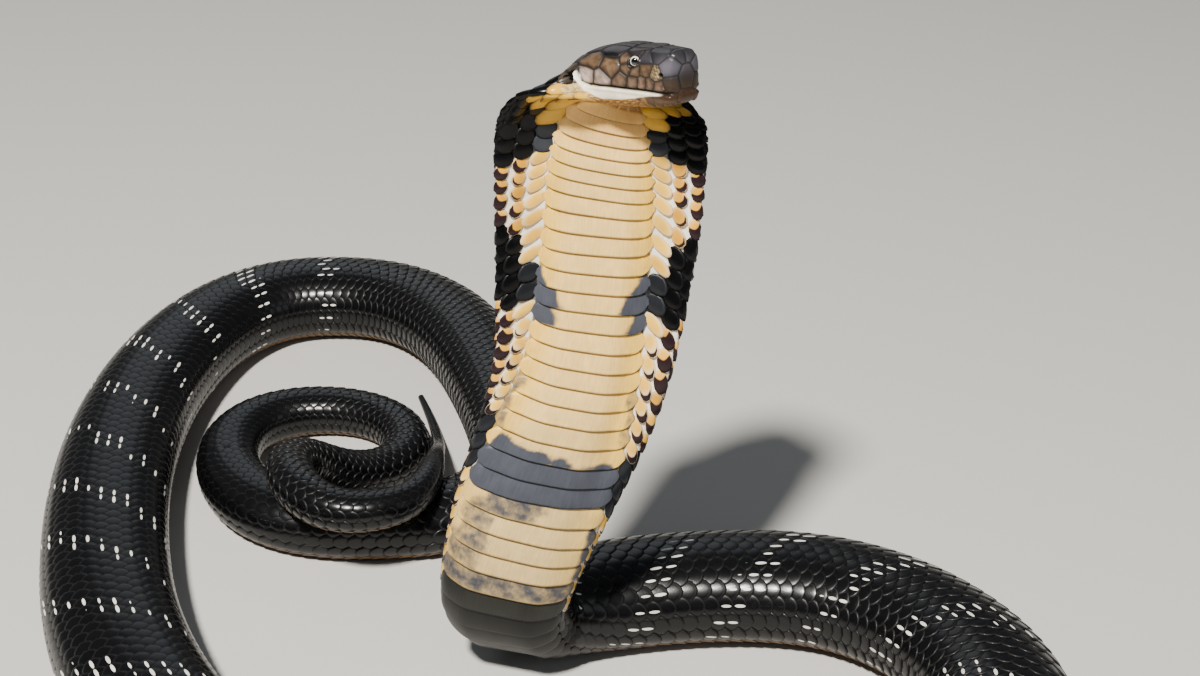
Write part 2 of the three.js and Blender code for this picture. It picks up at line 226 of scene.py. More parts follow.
def spread_out(form, s, angle):
    """Section points set along the body line, with the surface's steps along and across."""
    x, y = form(s, angle)
    centre, side, back, _, _ = on_line(s)
    spot = centre + side * x[..., None] + back * y[..., None]
    return x, y, spot, np.gradient(spot, axis=0), np.roll(spot, -1, 1) - np.roll(spot, 1, 1)


# The hide as one surface
TURN_COUNT = 257                     # samples once round the body
FIRST_S = 2.0                        # where the lookup of the hide starts


def hide_table():
    """Angles, places and normals of the hide on a grid of s and turn. Turn runs by arc
    length: -1 at the belly's right edge, 0 on the back, 1 at its left edge, 2 in the
    middle of the belly and 3 at the right edge again."""
    s = np.arange(FIRST_S, LENGTH - 0.5, 1.0)
    knots = np.radians(np.linspace(-90, 270, 901))
    x, y = section(s[:, None], knots[None, :])
    arc = np.hypot(np.diff(x, axis=1), np.diff(y, axis=1)).cumsum(1)
    arc = np.hstack([np.zeros((len(s), 1)), arc])
    edge_x = through(SCUTE_SHARE, s)[:, 0] * on_line(s)[4][:, 0]
    turn = np.linspace(-1, 3, TURN_COUNT)
    angle = np.empty((len(s), TURN_COUNT))
    half_belly = arc[np.arange(len(s)), np.argmax(x >= edge_x[:, None], axis=1)]
    for i, half in enumerate(half_belly):
        whole = arc[i, -1]
        dorsal = half + (1 - turn) / 2 * (whole - 2 * half)
        belly = np.where(turn <= 2, (2 - turn) * half, whole - (turn - 2) * half)
        angle[i] = np.interp(np.where(turn <= 1, dorsal, belly), arc[i], knots)
    _, _, spot, along, across = spread_out(section, s[:, None], angle)
    across[:, 0] = across[:, -1] = spot[:, 1] - spot[:, -2]
    normal = unit(np.cross(across, along))
    one_turn = np.stack([arc[:, -1] / 2 - half_belly, half_belly], 1)
    return np.concatenate([spot, normal], -1), one_turn


HIDE, REACH = hide_table()           # REACH: millimetres for one turn on the back and the belly


def hide(s, turn):
    """Place and normal of the hide at s and turn, between the kept samples."""
    turn = (np.asarray(turn, float) + 1) % 4
    f = np.clip(np.asarray(s, float) - FIRST_S, 0, len(HIDE) - 1.001)
    g = np.clip(turn / 4 * (TURN_COUNT - 1), 0, TURN_COUNT - 1.001)
    i, j = f.astype(int), g.astype(int)
    a, b = (f - i)[..., None], (g - j)[..., None]
    low, high = (HIDE[k, j] * (1 - b) + HIDE[k, j + 1] * b for k in (i, i + 1))
    row = low * (1 - a) + high * a
    return row[..., :3], unit(row[..., 3:])


def reach(s, belly=False):
    """Millimetres of hide in one turn at s."""
    i = np.clip(np.asarray(s, float) - FIRST_S, 0, len(REACH) - 1)
    return np.interp(i, np.arange(len(REACH)), REACH[:, int(belly)])


def stretch(s, turn):
    """Millimetres of hide along the body for each millimetre of s."""
    return np.linalg.norm(hide(s + 1, turn)[0] - hide(s - 1, turn)[0], axis=-1) / 2


# The colours, linear, and the markings
JET, SLATE, OLIVE, CREAM, STRAW, HONEY, AMBER, IVORY, TAN, UMBER = np.array([
    (0.0022, 0.0021, 0.0025), (0.048, 0.053, 0.064), (0.012, 0.012, 0.010),
    (0.82, 0.53, 0.165), (0.68, 0.485, 0.20), (0.80, 0.475, 0.060), (0.62, 0.30, 0.022),
    (0.86, 0.81, 0.71), (0.50, 0.255, 0.080), (0.050, 0.028, 0.017)])
BAND_FIRST, BAND_STEP = 506.5, 63.7
# s and how far a band runs headward over one turn
BAND_SLANT = [(400, 40), (700, 45), (1400, 62), (1650, 62), (1780, 46), (1850, 14), (1920, -5),
              (4000, 0)]
# s, and where the grey ends of the scutes begin towards the right and the left edge
GREY_ENDS = [(157, 1.4, 1.4), (167, 0.78, 0.60), (178, 0.42, 0.48), (189, 0.52, 0.64),
             (199, 1.4, 1.4)]


def ripple(s, turn, scale, seed):
    """Soft irregular waves between -1 and 1: three crossed sines of unlike lengths."""
    u, v = np.asarray(s) / scale, np.asarray(turn) * 30 / scale
    return (np.sin(u + 2.1 * v + seed) + np.sin(1.7 * u - 1.3 * v + 2.3 * seed)
            + np.sin(0.6 * u + 3.1 * v + 4.1 * seed)) / 3


def belly_dark(s, turn, place):
    """Share of slate on the belly from the scute's own place and the true one: grey ends
    on three scutes, a full band that starts along a slant, then blotched ends."""
    right = turn - 2
    side = np.abs(right)
    wave = ripple(place, turn, 5, 1.0)
    reach_in = np.where(right > 0, straight(GREY_ENDS, s), straight(GREY_ENDS, s, 2))
    behind = 0.014 * np.clip(place - s, -6, 6)
    ends = smooth(side + 0.09 * wave + behind, reach_in - 0.06, reach_in + 0.18)
    ends = ends * mix(1, 0.76, smooth(s, 182, 186) * (right > 0))
    tips = window(s, 226, 262, 3) * smooth(side + 0.1 * wave, 0.80, 0.92) * 0.40
    slant = 8 * smooth(right, 0.8, 0.98) - 4 * smooth(-right, 0.3, 0.8)
    start = smooth(place + 2.5 * wave - slant, 264, 270)
    band = window(s, 273.5, 297.7, 1.5) + window(s, 261.5, 273.5, 1.5) * start
    fade = window(s, 297.7, 310, 1.5) * window(right + 0.2 * wave, -0.15, 0.78, 0.12) * 0.50
    spots = np.where(right > 0, window(right + 0.1 * wave, 0.42, 0.93, 0.1) * 0.44,
                     smooth(side, 0.80, 0.92) * 0.6) * window(s, 310, 346.5, 1.5)
    late = window(s, 346.5, 358.5, 2) * 0.50
    return np.clip(np.max([ends, tips, band, fade, spots, late], axis=0), 0, 1)


def belly_tint(s, turn):
    """Cream on the hood, honey towards the scutes' ends, straw lower down, olive black
    where the belly comes to the floor, and brown along the body that lies."""
    side = np.abs(turn - 2)
    tint = over(CREAM, STRAW, smooth(s, 190, 330))
    warm = smooth(side, 0.42, 0.9) * smooth(s, 78, 108) * (1 - 0.6 * smooth(s, 230, 330)) * 0.85
    tint = over(tint, HONEY, warm)
    tint = over(tint, TAN * 1.25, (1 - smooth(s, 74, 98)) * 0.5)
    depth = (1 + 0.25 * ripple(s, turn, 9, 2.0)) * mix(2.2, 0.7, smooth(s, 358, 376))
    tint = over(tint, OLIVE * depth[..., None], smooth(s, 355.5, 361))
    return over(tint, TAN * 0.26, smooth(s, 430, 520) * (0.35 + 0.6 * smooth(side, 0.55, 0.95)))


def edge_distance(s, turn):
    """Millimetres of hide from the edge of the belly scutes."""
    return (1 - np.abs(turn)) * reach(s)


def pale_flank(s, turn):
    """Share of pale hide beside the scutes: three lengths of the hood and the neck, each
    starting nearer the head beside the scutes than at the rim."""
    e = edge_distance(s, turn) + 1.2 * ripple(s, turn, 11, 2.0)
    starts = np.interp(e, [0, 3, 9, 22], [84, 89, 99, 102])
    ends = np.interp(e, [0, 6, 12, 20], [160, 158, 148, 139])
    first = smooth(s, starts - 3, starts + 3) * (1 - smooth(s, ends - 3, ends + 3))
    late = 181 - 2 * smooth(e, 8, 16) + 3 * smooth(turn, 0, 0.5)
    second = smooth(s, late - 3, late + 3) * (1 - smooth(s, 251, 257))
    rim = mix(34, 10, smooth(s, 255, 345))
    share = (first + second + window(s, 288, 372, 4)) * (1 - smooth(e, rim, rim + 4))
    return np.clip(share, 0, 1)


def jaw_flank(s, turn):
    """Share of amber scales beside the throat, behind the jaw."""
    e = edge_distance(s, turn)
    width = np.interp(s, [46, 57, 62, 66, 74, 84], [20, 24, 20, 13, 6, 0])
    return (1 - smooth(e, width, width + 5)) * (1 - smooth(s, 78, 86))


def band_at(s, turn):
    """Share of the narrow pale bands on the back, one scale long, which run aslant."""
    x = (s + straight(BAND_SLANT, s) * turn - BAND_FIRST) / BAND_STEP
    near = np.abs(x - np.round(x)) * BAND_STEP
    half = mix(10.6, 8.0, smooth(s, 700, 1300))
    return (1 - smooth(near, half - 1.5, half + 0.5)) * smooth(s, 395, 420)


def hood_chevron(s, turn):
    """Two pale chevrons across the back of the hood, their points to the head."""
    bow = 46 * (1 - np.abs(turn)) ** 1.2
    return np.max([window(s + bow, at, at + 13, 2) for at in (175, 268)], axis=0)


def hide_tint(s, turn):
    """Colour of the skin between the scales."""
    s, turn = np.broadcast_arrays(np.asarray(s, float), ((np.asarray(turn, float) + 1) % 4) - 1)
    tint = over(JET * 1.2, IVORY, pale_flank(s, turn) * 0.97)
    tint = over(tint, mix(IVORY, HONEY, 0.6) * 0.62, jaw_flank(s, turn) * 0.9)
    low = smooth(np.abs(turn), 0.93, 1.0) * smooth(s, 330, 420)
    tint = over(tint, TAN * 0.2, low * 0.8)
    belly = over(belly_tint(s, turn) * 0.55, SLATE, belly_dark(s, turn, s))
    belly = over(belly, TAN * 0.7, np.where(s < 66, 1.0, 0.0))
    return np.where((turn > 1)[..., None], belly, tint)


# Putting meshes in place
def new_piece(name, points, faces, material):
    """A mesh object at the origin from millimetre points, riding on the one body. A face
    is four point numbers, or three and -1."""
    mesh = bpy.data.meshes.new(name)
    faces = np.asarray(faces, np.int32)
    points = np.array(points, float)
    points[:, 2] = np.maximum(points[:, 2], 0)
    mesh.vertices.add(len(points))
    mesh.vertices.foreach_set("co", (points * MM).astype(np.float32).ravel())
    corners = faces[faces >= 0]
    mesh.loops.add(len(corners))
    mesh.loops.foreach_set("vertex_index", corners)
    mesh.polygons.add(len(faces))
    starts = summed((faces >= 0).sum(1))[:-1]
    mesh.polygons.foreach_set("loop_start", starts.astype(np.int32))
    mesh.polygons.foreach_set("use_smooth", np.ones(len(faces), bool))
    mesh.update(calc_edges=True)
    mesh.validate()
    mesh.materials.append(material)
    piece = bpy.data.objects.new(name, mesh)
    bpy.context.scene.collection.objects.link(piece)
    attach(piece, "root")
    return piece


def paint(piece, name, values):
    """Keep four values at each point as a colour attribute, the fourth 1 if not given."""
    values = np.asarray(values, np.float32)
    if values.shape[1] == 3:
        values = np.hstack([values, np.ones((len(values), 1), np.float32)])
    layer = piece.data.attributes.new(name, "FLOAT_COLOR", "POINT")
    layer.data.foreach_set("color", values.ravel())


def unwrap(piece, faces, u, v):
    """Keep the bake's layout, given at each corner of each face."""
    layer = piece.data.uv_layers.new(name="OFBake")
    layer.data.foreach_set("uv", np.stack([u, v], -1)[faces >= 0].astype(np.float32).ravel())


def corners_of(faces):
    """Point number at each corner; a triangle's empty fourth takes its first."""
    return np.where(faces >= 0, faces, faces[:, :1])


def past_seam(v):
    """v at each face's corners, the low ones one lap on where the face crosses the seam."""
    crosses = (v.max(1) - v.min(1)) > 0.5
    return np.where(crosses[:, None] & (v < 0.5), v + 1, v)


def bake_place(s, turn):
    """Place on the hide's unwrap: the strip of the body cut in four, one above another."""
    strip = np.clip(np.asarray(s, float) / LENGTH, 0, 0.99999) * 4
    row = np.floor(strip)
    across = ((np.asarray(turn, float) + 1) % 4) / 4
    return 0.004 + 0.992 * (strip - row), (row + 0.01 + 0.98 * across) / 4


def grid_faces(rows, columns, closed=False):
    """Quads of a grid whose points run row by row, joined round when closed."""
    i = np.arange(rows - 1)[:, None] * columns
    j = np.arange(columns if closed else columns - 1)[None, :]
    k = (j + 1) % columns
    return np.stack([i + j, i + k, i + columns + k, i + columns + j], -1).reshape(-1, 4)


def fan_faces(tip, ring):
    """Triangles from a tip point to a ring of points."""
    return np.stack([np.full(len(ring), tip), ring, np.roll(ring, -1), np.full(len(ring), -1)], -1)


def tube_faces(rows, columns, turned):
    """A closed tube of rings with a fan at each end, whose two tips are the last points;
    turned when its points run round the other way."""
    ring, tip = np.arange(columns), rows * columns
    last = ring + tip - columns
    way = -1 if turned else 1
    return np.vstack([grid_faces(rows, columns, closed=True)[:, ::way],
                      fan_faces(tip, ring[::-way]), fan_faces(tip + 1, last[::way])])


# Finishes
def plug(tree, sockets, values):
    """Link sockets to others, or give them plain values."""
    for key, value in values.items():
        if isinstance(value, bpy.types.NodeSocket):
            tree.links.new(value, sockets[key])
        else:
            sockets[key].default_value = value


def add_node(tree, kind, values=None, **settings):
    """A shader node with its settings and the values of its sockets."""
    node = tree.nodes.new("ShaderNode" + kind)
    for key, value in settings.items():
        setattr(node, key, value)
    plug(tree, node.inputs, values or {})
    return node


def make_group(name, inputs, outputs):
    """An empty node group; returns it with the sockets that come in and that go out."""
    group = bpy.data.node_groups.new(name, "ShaderNodeTree")
    for way, sockets in (("INPUT", inputs), ("OUTPUT", outputs)):
        for label, kind in sockets.items():
            group.interface.new_socket(label, in_out=way, socket_type="NodeSocket" + kind)
    ends = group.nodes.new("NodeGroupInput"), group.nodes.new("NodeGroupOutput")
    return group, ends[0].outputs, ends[1].inputs


def maths(tree, operation, a, b=0.0, c=0.0):
    """One sum, product or other operation on up to three values."""
    return add_node(tree, "Math", {0: a, 1: b, 2: c}, operation=operation).outputs[0]


def noise(tree, where, scale, detail, roughness=0.5):
    """Smooth noise of a size at a place."""
    return add_node(tree, "TexNoise", {"Vector": where, "Scale": scale, "Detail": detail,
                                       "Roughness": roughness}).outputs[0]


def blend_colour(tree, share, a, b, kind="MIX"):
    """Colour b over colour a by a share, mixed or multiplied."""
    return add_node(tree, "Mix", {0: share, 6: a, 7: b}, data_type="RGBA",
                    blend_type=kind).outputs[2]


def shade(tree, colour, value):
    """A colour times one value."""
    grey = add_node(tree, "CombineColor", {0: value, 1: value, 2: value}).outputs[0]
    return blend_colour(tree, 1.0, colour, grey, "MULTIPLY")


def step_up(tree, value, low, high):
    """0 below low, 1 above high and a smooth rise between."""
    return add_node(tree, "MapRange", {"Value": value, "From Min": low, "From Max": high},
                    interpolation_type="SMOOTHSTEP").outputs[0]


def place_group(tree, group, **values):
    """A node group set in a tree, with the values of its sockets."""
    node = tree.nodes.new("ShaderNodeGroup")
    node.node_tree = group
    plug(tree, node.inputs, {key.replace("_", " "): value for key, value in values.items()})
    return node.outputs


def grain_group():
    """Uneven colour and fine relief of living hide: two sizes of noise, the larger one
    shifting the tint, the smaller one raising the surface and its roughness."""
    group, given, made = make_group(
        "hide grain", {"Tint": "Color", "Size": "Float", "Change": "Float"},
        {"Tint": "Color", "Height": "Float", "Grain": "Float"})
    where = add_node(group, "TexCoord").outputs["Object"]
    broad = noise(group, where, 130.0, 3.0)
    fine = noise(group, where, given["Size"], 4.0)
    darker = shade(group, given["Tint"], maths(group, "MULTIPLY_ADD", broad, 1.2, 0.4))
    tint = blend_colour(group, given["Change"], given["Tint"], darker)
    plug(group, made, {"Tint": tint, "Height": fine, "Grain": broad})
    return group


def tone_group():
    """Each scale's own lightness from its random tone, and a darker line at its rim."""
    group, given, made = make_group(
        "scale tone", {"Tint": "Color", "Tone": "Float", "Rim": "Float", "Spread": "Float",
                       "Rim dark": "Float"}, {"Tint": "Color"})
    swing = maths(group, "MULTIPLY", maths(group, "SUBTRACT", given["Tone"], 0.5), given["Spread"])
    toned = shade(group, given["Tint"], maths(group, "ADD", swing, 1.0))
    rim = add_node(group, "MapRange", {"Value": given["Rim"], "From Min": 0.80, "From Max": 1.0})
    dark = maths(group, "MULTIPLY", rim.outputs[0], given["Rim dark"])
    shaded = blend_colour(group, 1.0, toned, (0.25, 0.22, 0.20, 1), "MULTIPLY")
    plug(group, made, {"Tint": blend_colour(group, dark, toned, shaded)})
    return group


def dash_mark(tree, share, across, climb):
    """A small pale oval along the middle of a scale, the larger the greater its share."""
    x = maths(tree, "MULTIPLY_ADD", climb, 3.31, -1.98)
    y = maths(tree, "MULTIPLY_ADD", across, 13.2, -7.1)
    far = maths(tree, "ADD", maths(tree, "MULTIPLY", x, x), maths(tree, "MULTIPLY", y, y))
    return step_up(tree, maths(tree, "SUBTRACT", share, far), 0.0, 0.16)


def tip_mark(tree, share, across, climb):
    """The tip and the rim of a scale, reaching further to its root the greater its share."""
    side = maths(tree, "MULTIPLY_ADD", across, 2.0, -1.0)
    rim = maths(tree, "MULTIPLY", maths(tree, "MULTIPLY", side, side), 0.7)
    reach_in = maths(tree, "SUBTRACT", maths(tree, "MULTIPLY_ADD", climb, 2.0, rim), 2.7)
    return step_up(tree, maths(tree, "MULTIPLY_ADD", share, 2.5, reach_in), 0.0, 0.14)


def blot_mark(tree, share, across, climb):
    """Soft blotches with uneven edges that close up as the share grows."""
    where = add_node(tree, "TexCoord").outputs["Object"]
    swing = maths(tree, "MULTIPLY_ADD", noise(tree, where, 170.0, 5.0, 0.60), 1.0, -0.50)
    return step_up(tree, maths(tree, "MULTIPLY_ADD", share, 1.4, swing), 0.12, 0.90)


def new_finish(name):
    """A material; returns it with its node tree and its shader's sockets."""
    material = bpy.data.materials.new(name)
    material.use_nodes = True
    return material, material.node_tree, material.node_tree.nodes["Principled BSDF"].inputs


def fine_values(tree):
    """What each point keeps: nearness to the rim, tone, climb, and place across."""
    fine = add_node(tree, "Attribute", attribute_name="fine")
    parts = add_node(tree, "SeparateColor", {0: fine.outputs["Color"]}).outputs
    return parts[0], parts[1], parts[2], fine.outputs["Alpha"]


def hide_material(name, grain_size, change, spread, rim_dark, rough, rough_swing, bump_depth,
                  coat, shine=0.5, streaks=0.0, mark=None, mark_colour=None):
    """A finish of living hide: the surface's own tint and tone, a mark whose share is what
    the tint's fourth value lacks of 1, grain, and a gloss that fails in the seams."""
    material, tree, shader = new_finish(name)
    tint = add_node(tree, "Attribute", attribute_name="tint").outputs
    rim, tone, climb, across = fine_values(tree)
    base = tint["Color"]
    if mark:
        share = maths(tree, "SUBTRACT", 1.0, tint["Alpha"])
        base = blend_colour(tree, mark(tree, share, across, climb), base, mark_colour)
    toned = place_group(tree, TONE, Tint=base, Tone=tone, Rim=rim, Spread=spread,
                        Rim_dark=rim_dark)
    grain = place_group(tree, GRAIN, Tint=toned["Tint"], Size=grain_size, Change=change)
    colour, height = grain["Tint"], grain["Height"]
    if streaks:
        where = add_node(tree, "CombineXYZ", {
            k: maths(tree, "MULTIPLY", value, often)
            for k, (value, often) in enumerate([(climb, 1.6), (across, 90.0), (tone, 30.0)])})
        lines = noise(tree, where.outputs[0], 1.0, 3.0)
        colour = shade(tree, colour, maths(tree, "MULTIPLY_ADD", lines, streaks, 1 - streaks / 2))
        height = maths(tree, "ADD", maths(tree, "MULTIPLY", height, 0.35), lines)
    dull = maths(tree, "MULTIPLY", step_up(tree, rim, 0.70, 0.95), 0.35)
    swing = maths(tree, "MULTIPLY_ADD", grain["Grain"], rough_swing, rough - rough_swing / 2)
    bump = add_node(tree, "Bump", {"Height": height, "Strength": 0.5, "Distance": bump_depth})
    plug(tree, shader, {
        "Base Color": colour, "Roughness": maths(tree, "ADD", swing, dull),
        "Normal": bump.outputs[0], "Coat Weight": coat, "Coat Roughness": 0.18,
        "Specular IOR Level": shine})
    return material


# How far from the pupil's middle each colour of the eye lies, as a share of half a turn
EYE_STOPS = [(0.0, (0.002, 0.002, 0.002, 1)), (0.200, (0.002, 0.002, 0.002, 1)),
             (0.214, (0.50, 0.42, 0.30, 1)), (0.236, (0.85, 0.81, 0.70, 1)),
             (0.302, (0.68, 0.63, 0.52, 1)), (0.335, (0.03, 0.02, 0.015, 1)),
             (1.0, (0.01, 0.008, 0.007, 1))]


def eye_material():
    """Round black pupil, a pale iris finely streaked from the pupil out, a dark rim."""
    material, tree, shader = new_finish("eye gloss")
    tilt, spin, _, _ = fine_values(tree)
    ramp = add_node(tree, "ValToRGB", {0: tilt})
    for k, (at, colour) in enumerate(EYE_STOPS):
        stops = ramp.color_ramp.elements
        stop = stops[k] if k < 2 else stops.new(at)
        stop.position, stop.color = at, colour
    where = add_node(tree, "CombineXYZ", {0: maths(tree, "MULTIPLY", spin, 60.0),
                                          1: maths(tree, "MULTIPLY", tilt, 12.0)})
    streak = maths(tree, "MULTIPLY_ADD", noise(tree, where.outputs[0], 1.0, 2.0), 0.7, 0.62)
    plug(tree, shader, {"Base Color": shade(tree, ramp.outputs[0], streak), "Roughness": 0.06,
                        "Coat Weight": 1.0, "Coat Roughness": 0.02})
    return material


GRAIN, TONE = grain_group(), tone_group()
HIDE_SKIN = hide_material("skin between scales", 900, 0.5, 0.0, 0.0, 0.50, 0.15, 0.0003, 0.0)
SCALE_SKIN = hide_material("small scales", 1500, 0.35, 0.30, 0.35, 0.26, 0.12, 0.00008, 0.10,
                           0.34, mark=dash_mark, mark_colour=(0.74, 0.72, 0.66, 1))
HOOD_SKIN = hide_material("hood scales", 1300, 0.45, 0.26, 0.20, 0.22, 0.10, 0.00010, 0.05,
                          0.16, mark=tip_mark, mark_colour=(0.018, 0.009, 0.011, 1))
SCUTE_SKIN = hide_material("belly scutes", 1100, 0.32, 0.13, 0.45, 0.44, 0.12, 0.00022, 0.02,
                           0.26, streaks=0.50, mark=blot_mark,
                           mark_colour=(0.054, 0.058, 0.074, 1))
SHIELD_SKIN = hide_material("head shields", 1400, 0.55, 0.12, 0.0, 0.34, 0.14, 0.00010, 0.05,
                            0.27)
EYE_GLOSS = eye_material()

# The pitch of the scutes: s and the length of one
PITCH = [(44.4, 7.2), (78, 7.8), (112, 7.8), (126, 10.2), (140, 10.6), (240, 11.2), (262, 11.9),
         (300, 12.3), (370, 12.0), (430, 10.4), (560, 9.0), (700, 8.5), (2260, 8.0), (2700, 7.2),
         (2950, 6.0), (3152, 4.2)]


def pitch_at(s):
    """Length of one scute at s, on straight lines through its table."""
    return straight(PITCH, s)


def row_places():
    """Distance of every scute along the body: the pitch added up, kept at whole steps."""
    s = np.arange(PITCH[0][0], LENGTH, 0.5)
    steps = np.cumsum(0.5 / pitch_at(s))
    return np.interp(np.arange(1, steps[-1]), steps, s)


ROWS = row_places()


def rows_in(low, high):
    """Those scutes' distances that lie from low up to high."""
    return ROWS[(ROWS >= low) & (ROWS < high)]


# Small scales
SECTORS = 12
RINGS = (0.5, 0.82, 1.0, 1.0)        # the last ring is the scale's foot, under the skin
ROOT_DEPTH = -0.85                   # a scale's root lies on the skin, this far under the solid
PATCH = 0.0015                       # half the size of a scale's place in the bake's layout
SCUTE_PATCH = 0.004                  # half the length of a scute's place there
SCALES_FROM, HOOD_CUT = 50.5, 200    # where the hood's scales begin, and their piece ends
HOOD_ROWS = 19                       # rows of scales round the hood and the neck
BACK_PIECES = [("scales_back_1", NECK_END, 900, 15), ("scales_back_2", 900, 1500, 15),
               ("scales_back_3", 1500, VENT, 15), ("scales_tail_1", VENT, 2480, 13),
               ("scales_tail_2", 2480, 2760, 11), ("scales_tail_3", 2760, 2930, 9),
               ("scales_tail_4", 2930, 3050, 7), ("scales_tail_5", 3050, TAIL_END, 5)]


def scale_outline(roundness):
    """Outline in polar form: 1 over the n-th root of |cos|^n + |sin|^n."""
    angle = np.arange(SECTORS) * 2 * np.pi / SECTORS
    c, v = np.cos(angle), np.sin(angle)
    radius = (np.abs(c) ** roundness + np.abs(v) ** roundness) ** (-1 / roundness)
    return radius * c, radius * v


def scale_faces():
    """Faces of one scale: a fan at its middle, bands between its rings, a fan below."""
    ring = 1 + np.arange(SECTORS)
    one = [fan_faces(0, ring)]
    for a in (ring + k * SECTORS for k in range(len(RINGS) - 1)):
        b = np.roll(a, -1)
        one.append(np.stack([a, a + SECTORS, b + SECTORS, b], -1))
    under = ring + (len(RINGS) - 1) * SECTORS
    one.append(fan_faces(under[-1] + 1, under[::-1]))
    one = np.vstack(one)[:, ::-1]
    return np.where(one[:, :1] < 0, np.roll(one, -1, 1), one)


def scales(name, s, turn, half_long, half_wide, lean, rise, crown, roundness, tint_of, material):
    """Overlapping scales, all of one piece. Each is a closed lozenge of rings that
    follows the hide; its height climbs from the root under the scales before it to the
    free tip, with a crown in its middle, and its foot stands in the skin."""
    half_long, half_wide, lean, rise, crown, roundness = (
        np.broadcast_to(v, s.shape)[:, None]
        for v in (half_long, half_wide, lean, rise, crown, roundness))
    x, y = scale_outline(1.8)
    lx, ly = (np.concatenate([[0], np.outer(RINGS, v).ravel(), [0]]) for v in (x, y))
    fit = np.hypot(*scale_outline(roundness)) / np.hypot(x, y)
    ones = np.ones((len(s), 1))
    fit = np.hstack([ones, np.tile(fit, len(RINGS)), ones])
    radius = np.concatenate([[0], np.repeat(RINGS, SECTORS), [0]])
    count = len(lx)
    foot = np.arange(count) >= count - SECTORS - 1
    c, v = np.cos(lean), np.sin(lean)
    along, across = lx * fit * half_long, ly * fit * half_wide
    s_at = s[:, None] + along * c - across * v
    t_at = turn[:, None] + (along * v + across * c) / reach(s)[:, None]
    spot, normal = hide(s_at, t_at)
    climb = 0.5 + 0.5 * lx
    height = mix(ROOT_DEPTH, rise, climb ** 1.2) + crown * (1 - radius ** 2)
    height = np.where(radius > 0.95, height - 0.10, height)
    height = np.where(foot, ROOT_DEPTH - 0.45, height)
    points = spot + normal * height[..., None]
    one = scale_faces()[None]
    faces = np.where(one < 0, -1, one + (np.arange(len(s)) * count)[:, None, None]).reshape(-1, 4)
    piece = new_piece(name, points.reshape(-1, 3), faces, material)
    tone = RANDOM.random((len(s), 1))
    tint = tint_of(s, turn, lx, radius)
    paint(piece, "tint", tint.reshape(-1, tint.shape[-1]))
    fine = np.broadcast_arrays(radius, tone, climb, 0.5 + 0.5 * ly)
    paint(piece, "fine", np.stack(fine, -1).reshape(-1, 4))
    u, w = bake_place(s - half_long[:, 0], turn)
    corner = corners_of(faces)
    unwrap(piece, faces, (u[:, None] + PATCH * lx).ravel()[corner],
           (w[:, None] + PATCH * ly).ravel()[corner])


def row_grid(low, high, rows, widening=0.20):
    """s and turn of every scale whose place is between low and high: alternate rows set
    back by half a pitch, the rows wider apart towards the belly by the widening."""
    at = rows_in(low, high)
    number = np.arange(rows)
    s = at[:, None] + np.where(number % 2 == 1, 0.5, 0.0) * pitch_at(at)[:, None]
    place = (2 * number + 1) / rows - 1
    turn = np.broadcast_to(place * (1 - widening + widening * place ** 2), s.shape)
    return s.ravel(), turn.ravel()


def back_tint(s, turn, lx, radius):
    """Glossy black; the fourth value lacks the share of a pale dash in a band."""
    chance = RANDOM.random(len(s))
    band = band_at(s, turn) * (1 - smooth(s, 1915, 1950)) * (0.42 + 0.7 * chance) * (chance > 0.12)
    low = smooth(np.abs(turn), 0.90, 1.0) * smooth(s, 380, 460)
    tint = over(JET, UMBER, low[:, None] + 0 * lx)
    return np.dstack([tint, 1 - np.clip(band, 0, 1)[:, None] + 0 * lx])


def hood_tint(s, turn, lx, radius):
    """Amber scales with black-brown tips on the pale flank, more so outward; amber lobes
    beside the throat; slate scales by the dark scutes; black ones elsewhere. The fourth
    value says how far the dark tip reaches."""
    e = edge_distance(s, turn)
    pale = (pale_flank(s, turn) > 0.5)[:, None, None]
    jaw = (jaw_flank(s, turn) > 0.5)[:, None, None]
    wild = RANDOM.random((len(s), 2))
    low_neck = smooth(s, 184, 200)[:, None]
    heart, root = 1 - smooth(radius, 0.70, 1.0), 1 - smooth(lx, -0.1, 0.5)
    deep = np.clip(0.15 + 0.9 * smooth(e, 2, 16)[:, None] + 0.5 * (wild[:, :1] - 0.5), 0, 1)
    gilt = (0.55 + 0.45 * heart) * mix(1, 0.3 + 0.7 * root, 0.6 * low_neck)
    gold = over(IVORY, over(HONEY, AMBER, deep), gilt)
    beside = (1 - smooth(e, 5, 13)) * (0.35 + 0.65 * window(s, 86, 100, 3))
    tint = np.where(pale, gold, over(JET * 0.9, SLATE * 0.62, beside[:, None]))
    rim = smooth(radius, 0.66, 1.0) * (0.3 + 0.5 * smooth(lx, 0.2, 1))
    tint = np.where(jaw, over(mix(AMBER, HONEY, 0.62), UMBER * 1.4, rim), tint)
    chevron = hood_chevron(s, turn)[:, None] * (1 - smooth(radius, 0.5, 0.9))
    behind = np.maximum(smooth(e, 35, 40) * (1 - smooth(s, 255, 345)), smooth(s, 380, 410)) > 0.5
    tint = np.where(behind[:, None, None], over(JET, STRAW * 0.8, chevron), tint)
    start = np.interp(e, [5, 9, 14, 23], [1.4, 0.9, 0.25, -0.35]) + 0.45 * (wild[:, 1] - 0.5)
    spot = np.interp(e, [3, 9, 16], [0.30, -0.20, -0.45]) + 0.4 * (wild[:, 1] - 0.5)
    start = np.where(s < 190, start, spot) + np.where((jaw | ~pale)[:, 0, 0], 2, 0)
    share = np.clip((1.5 - np.where(behind, 2, start)) / 2.5, 0, 1)[:, None]
    return np.dstack([tint, 1 - share * (1 - smooth(radius, 0.80, 0.98) * 0.5)])


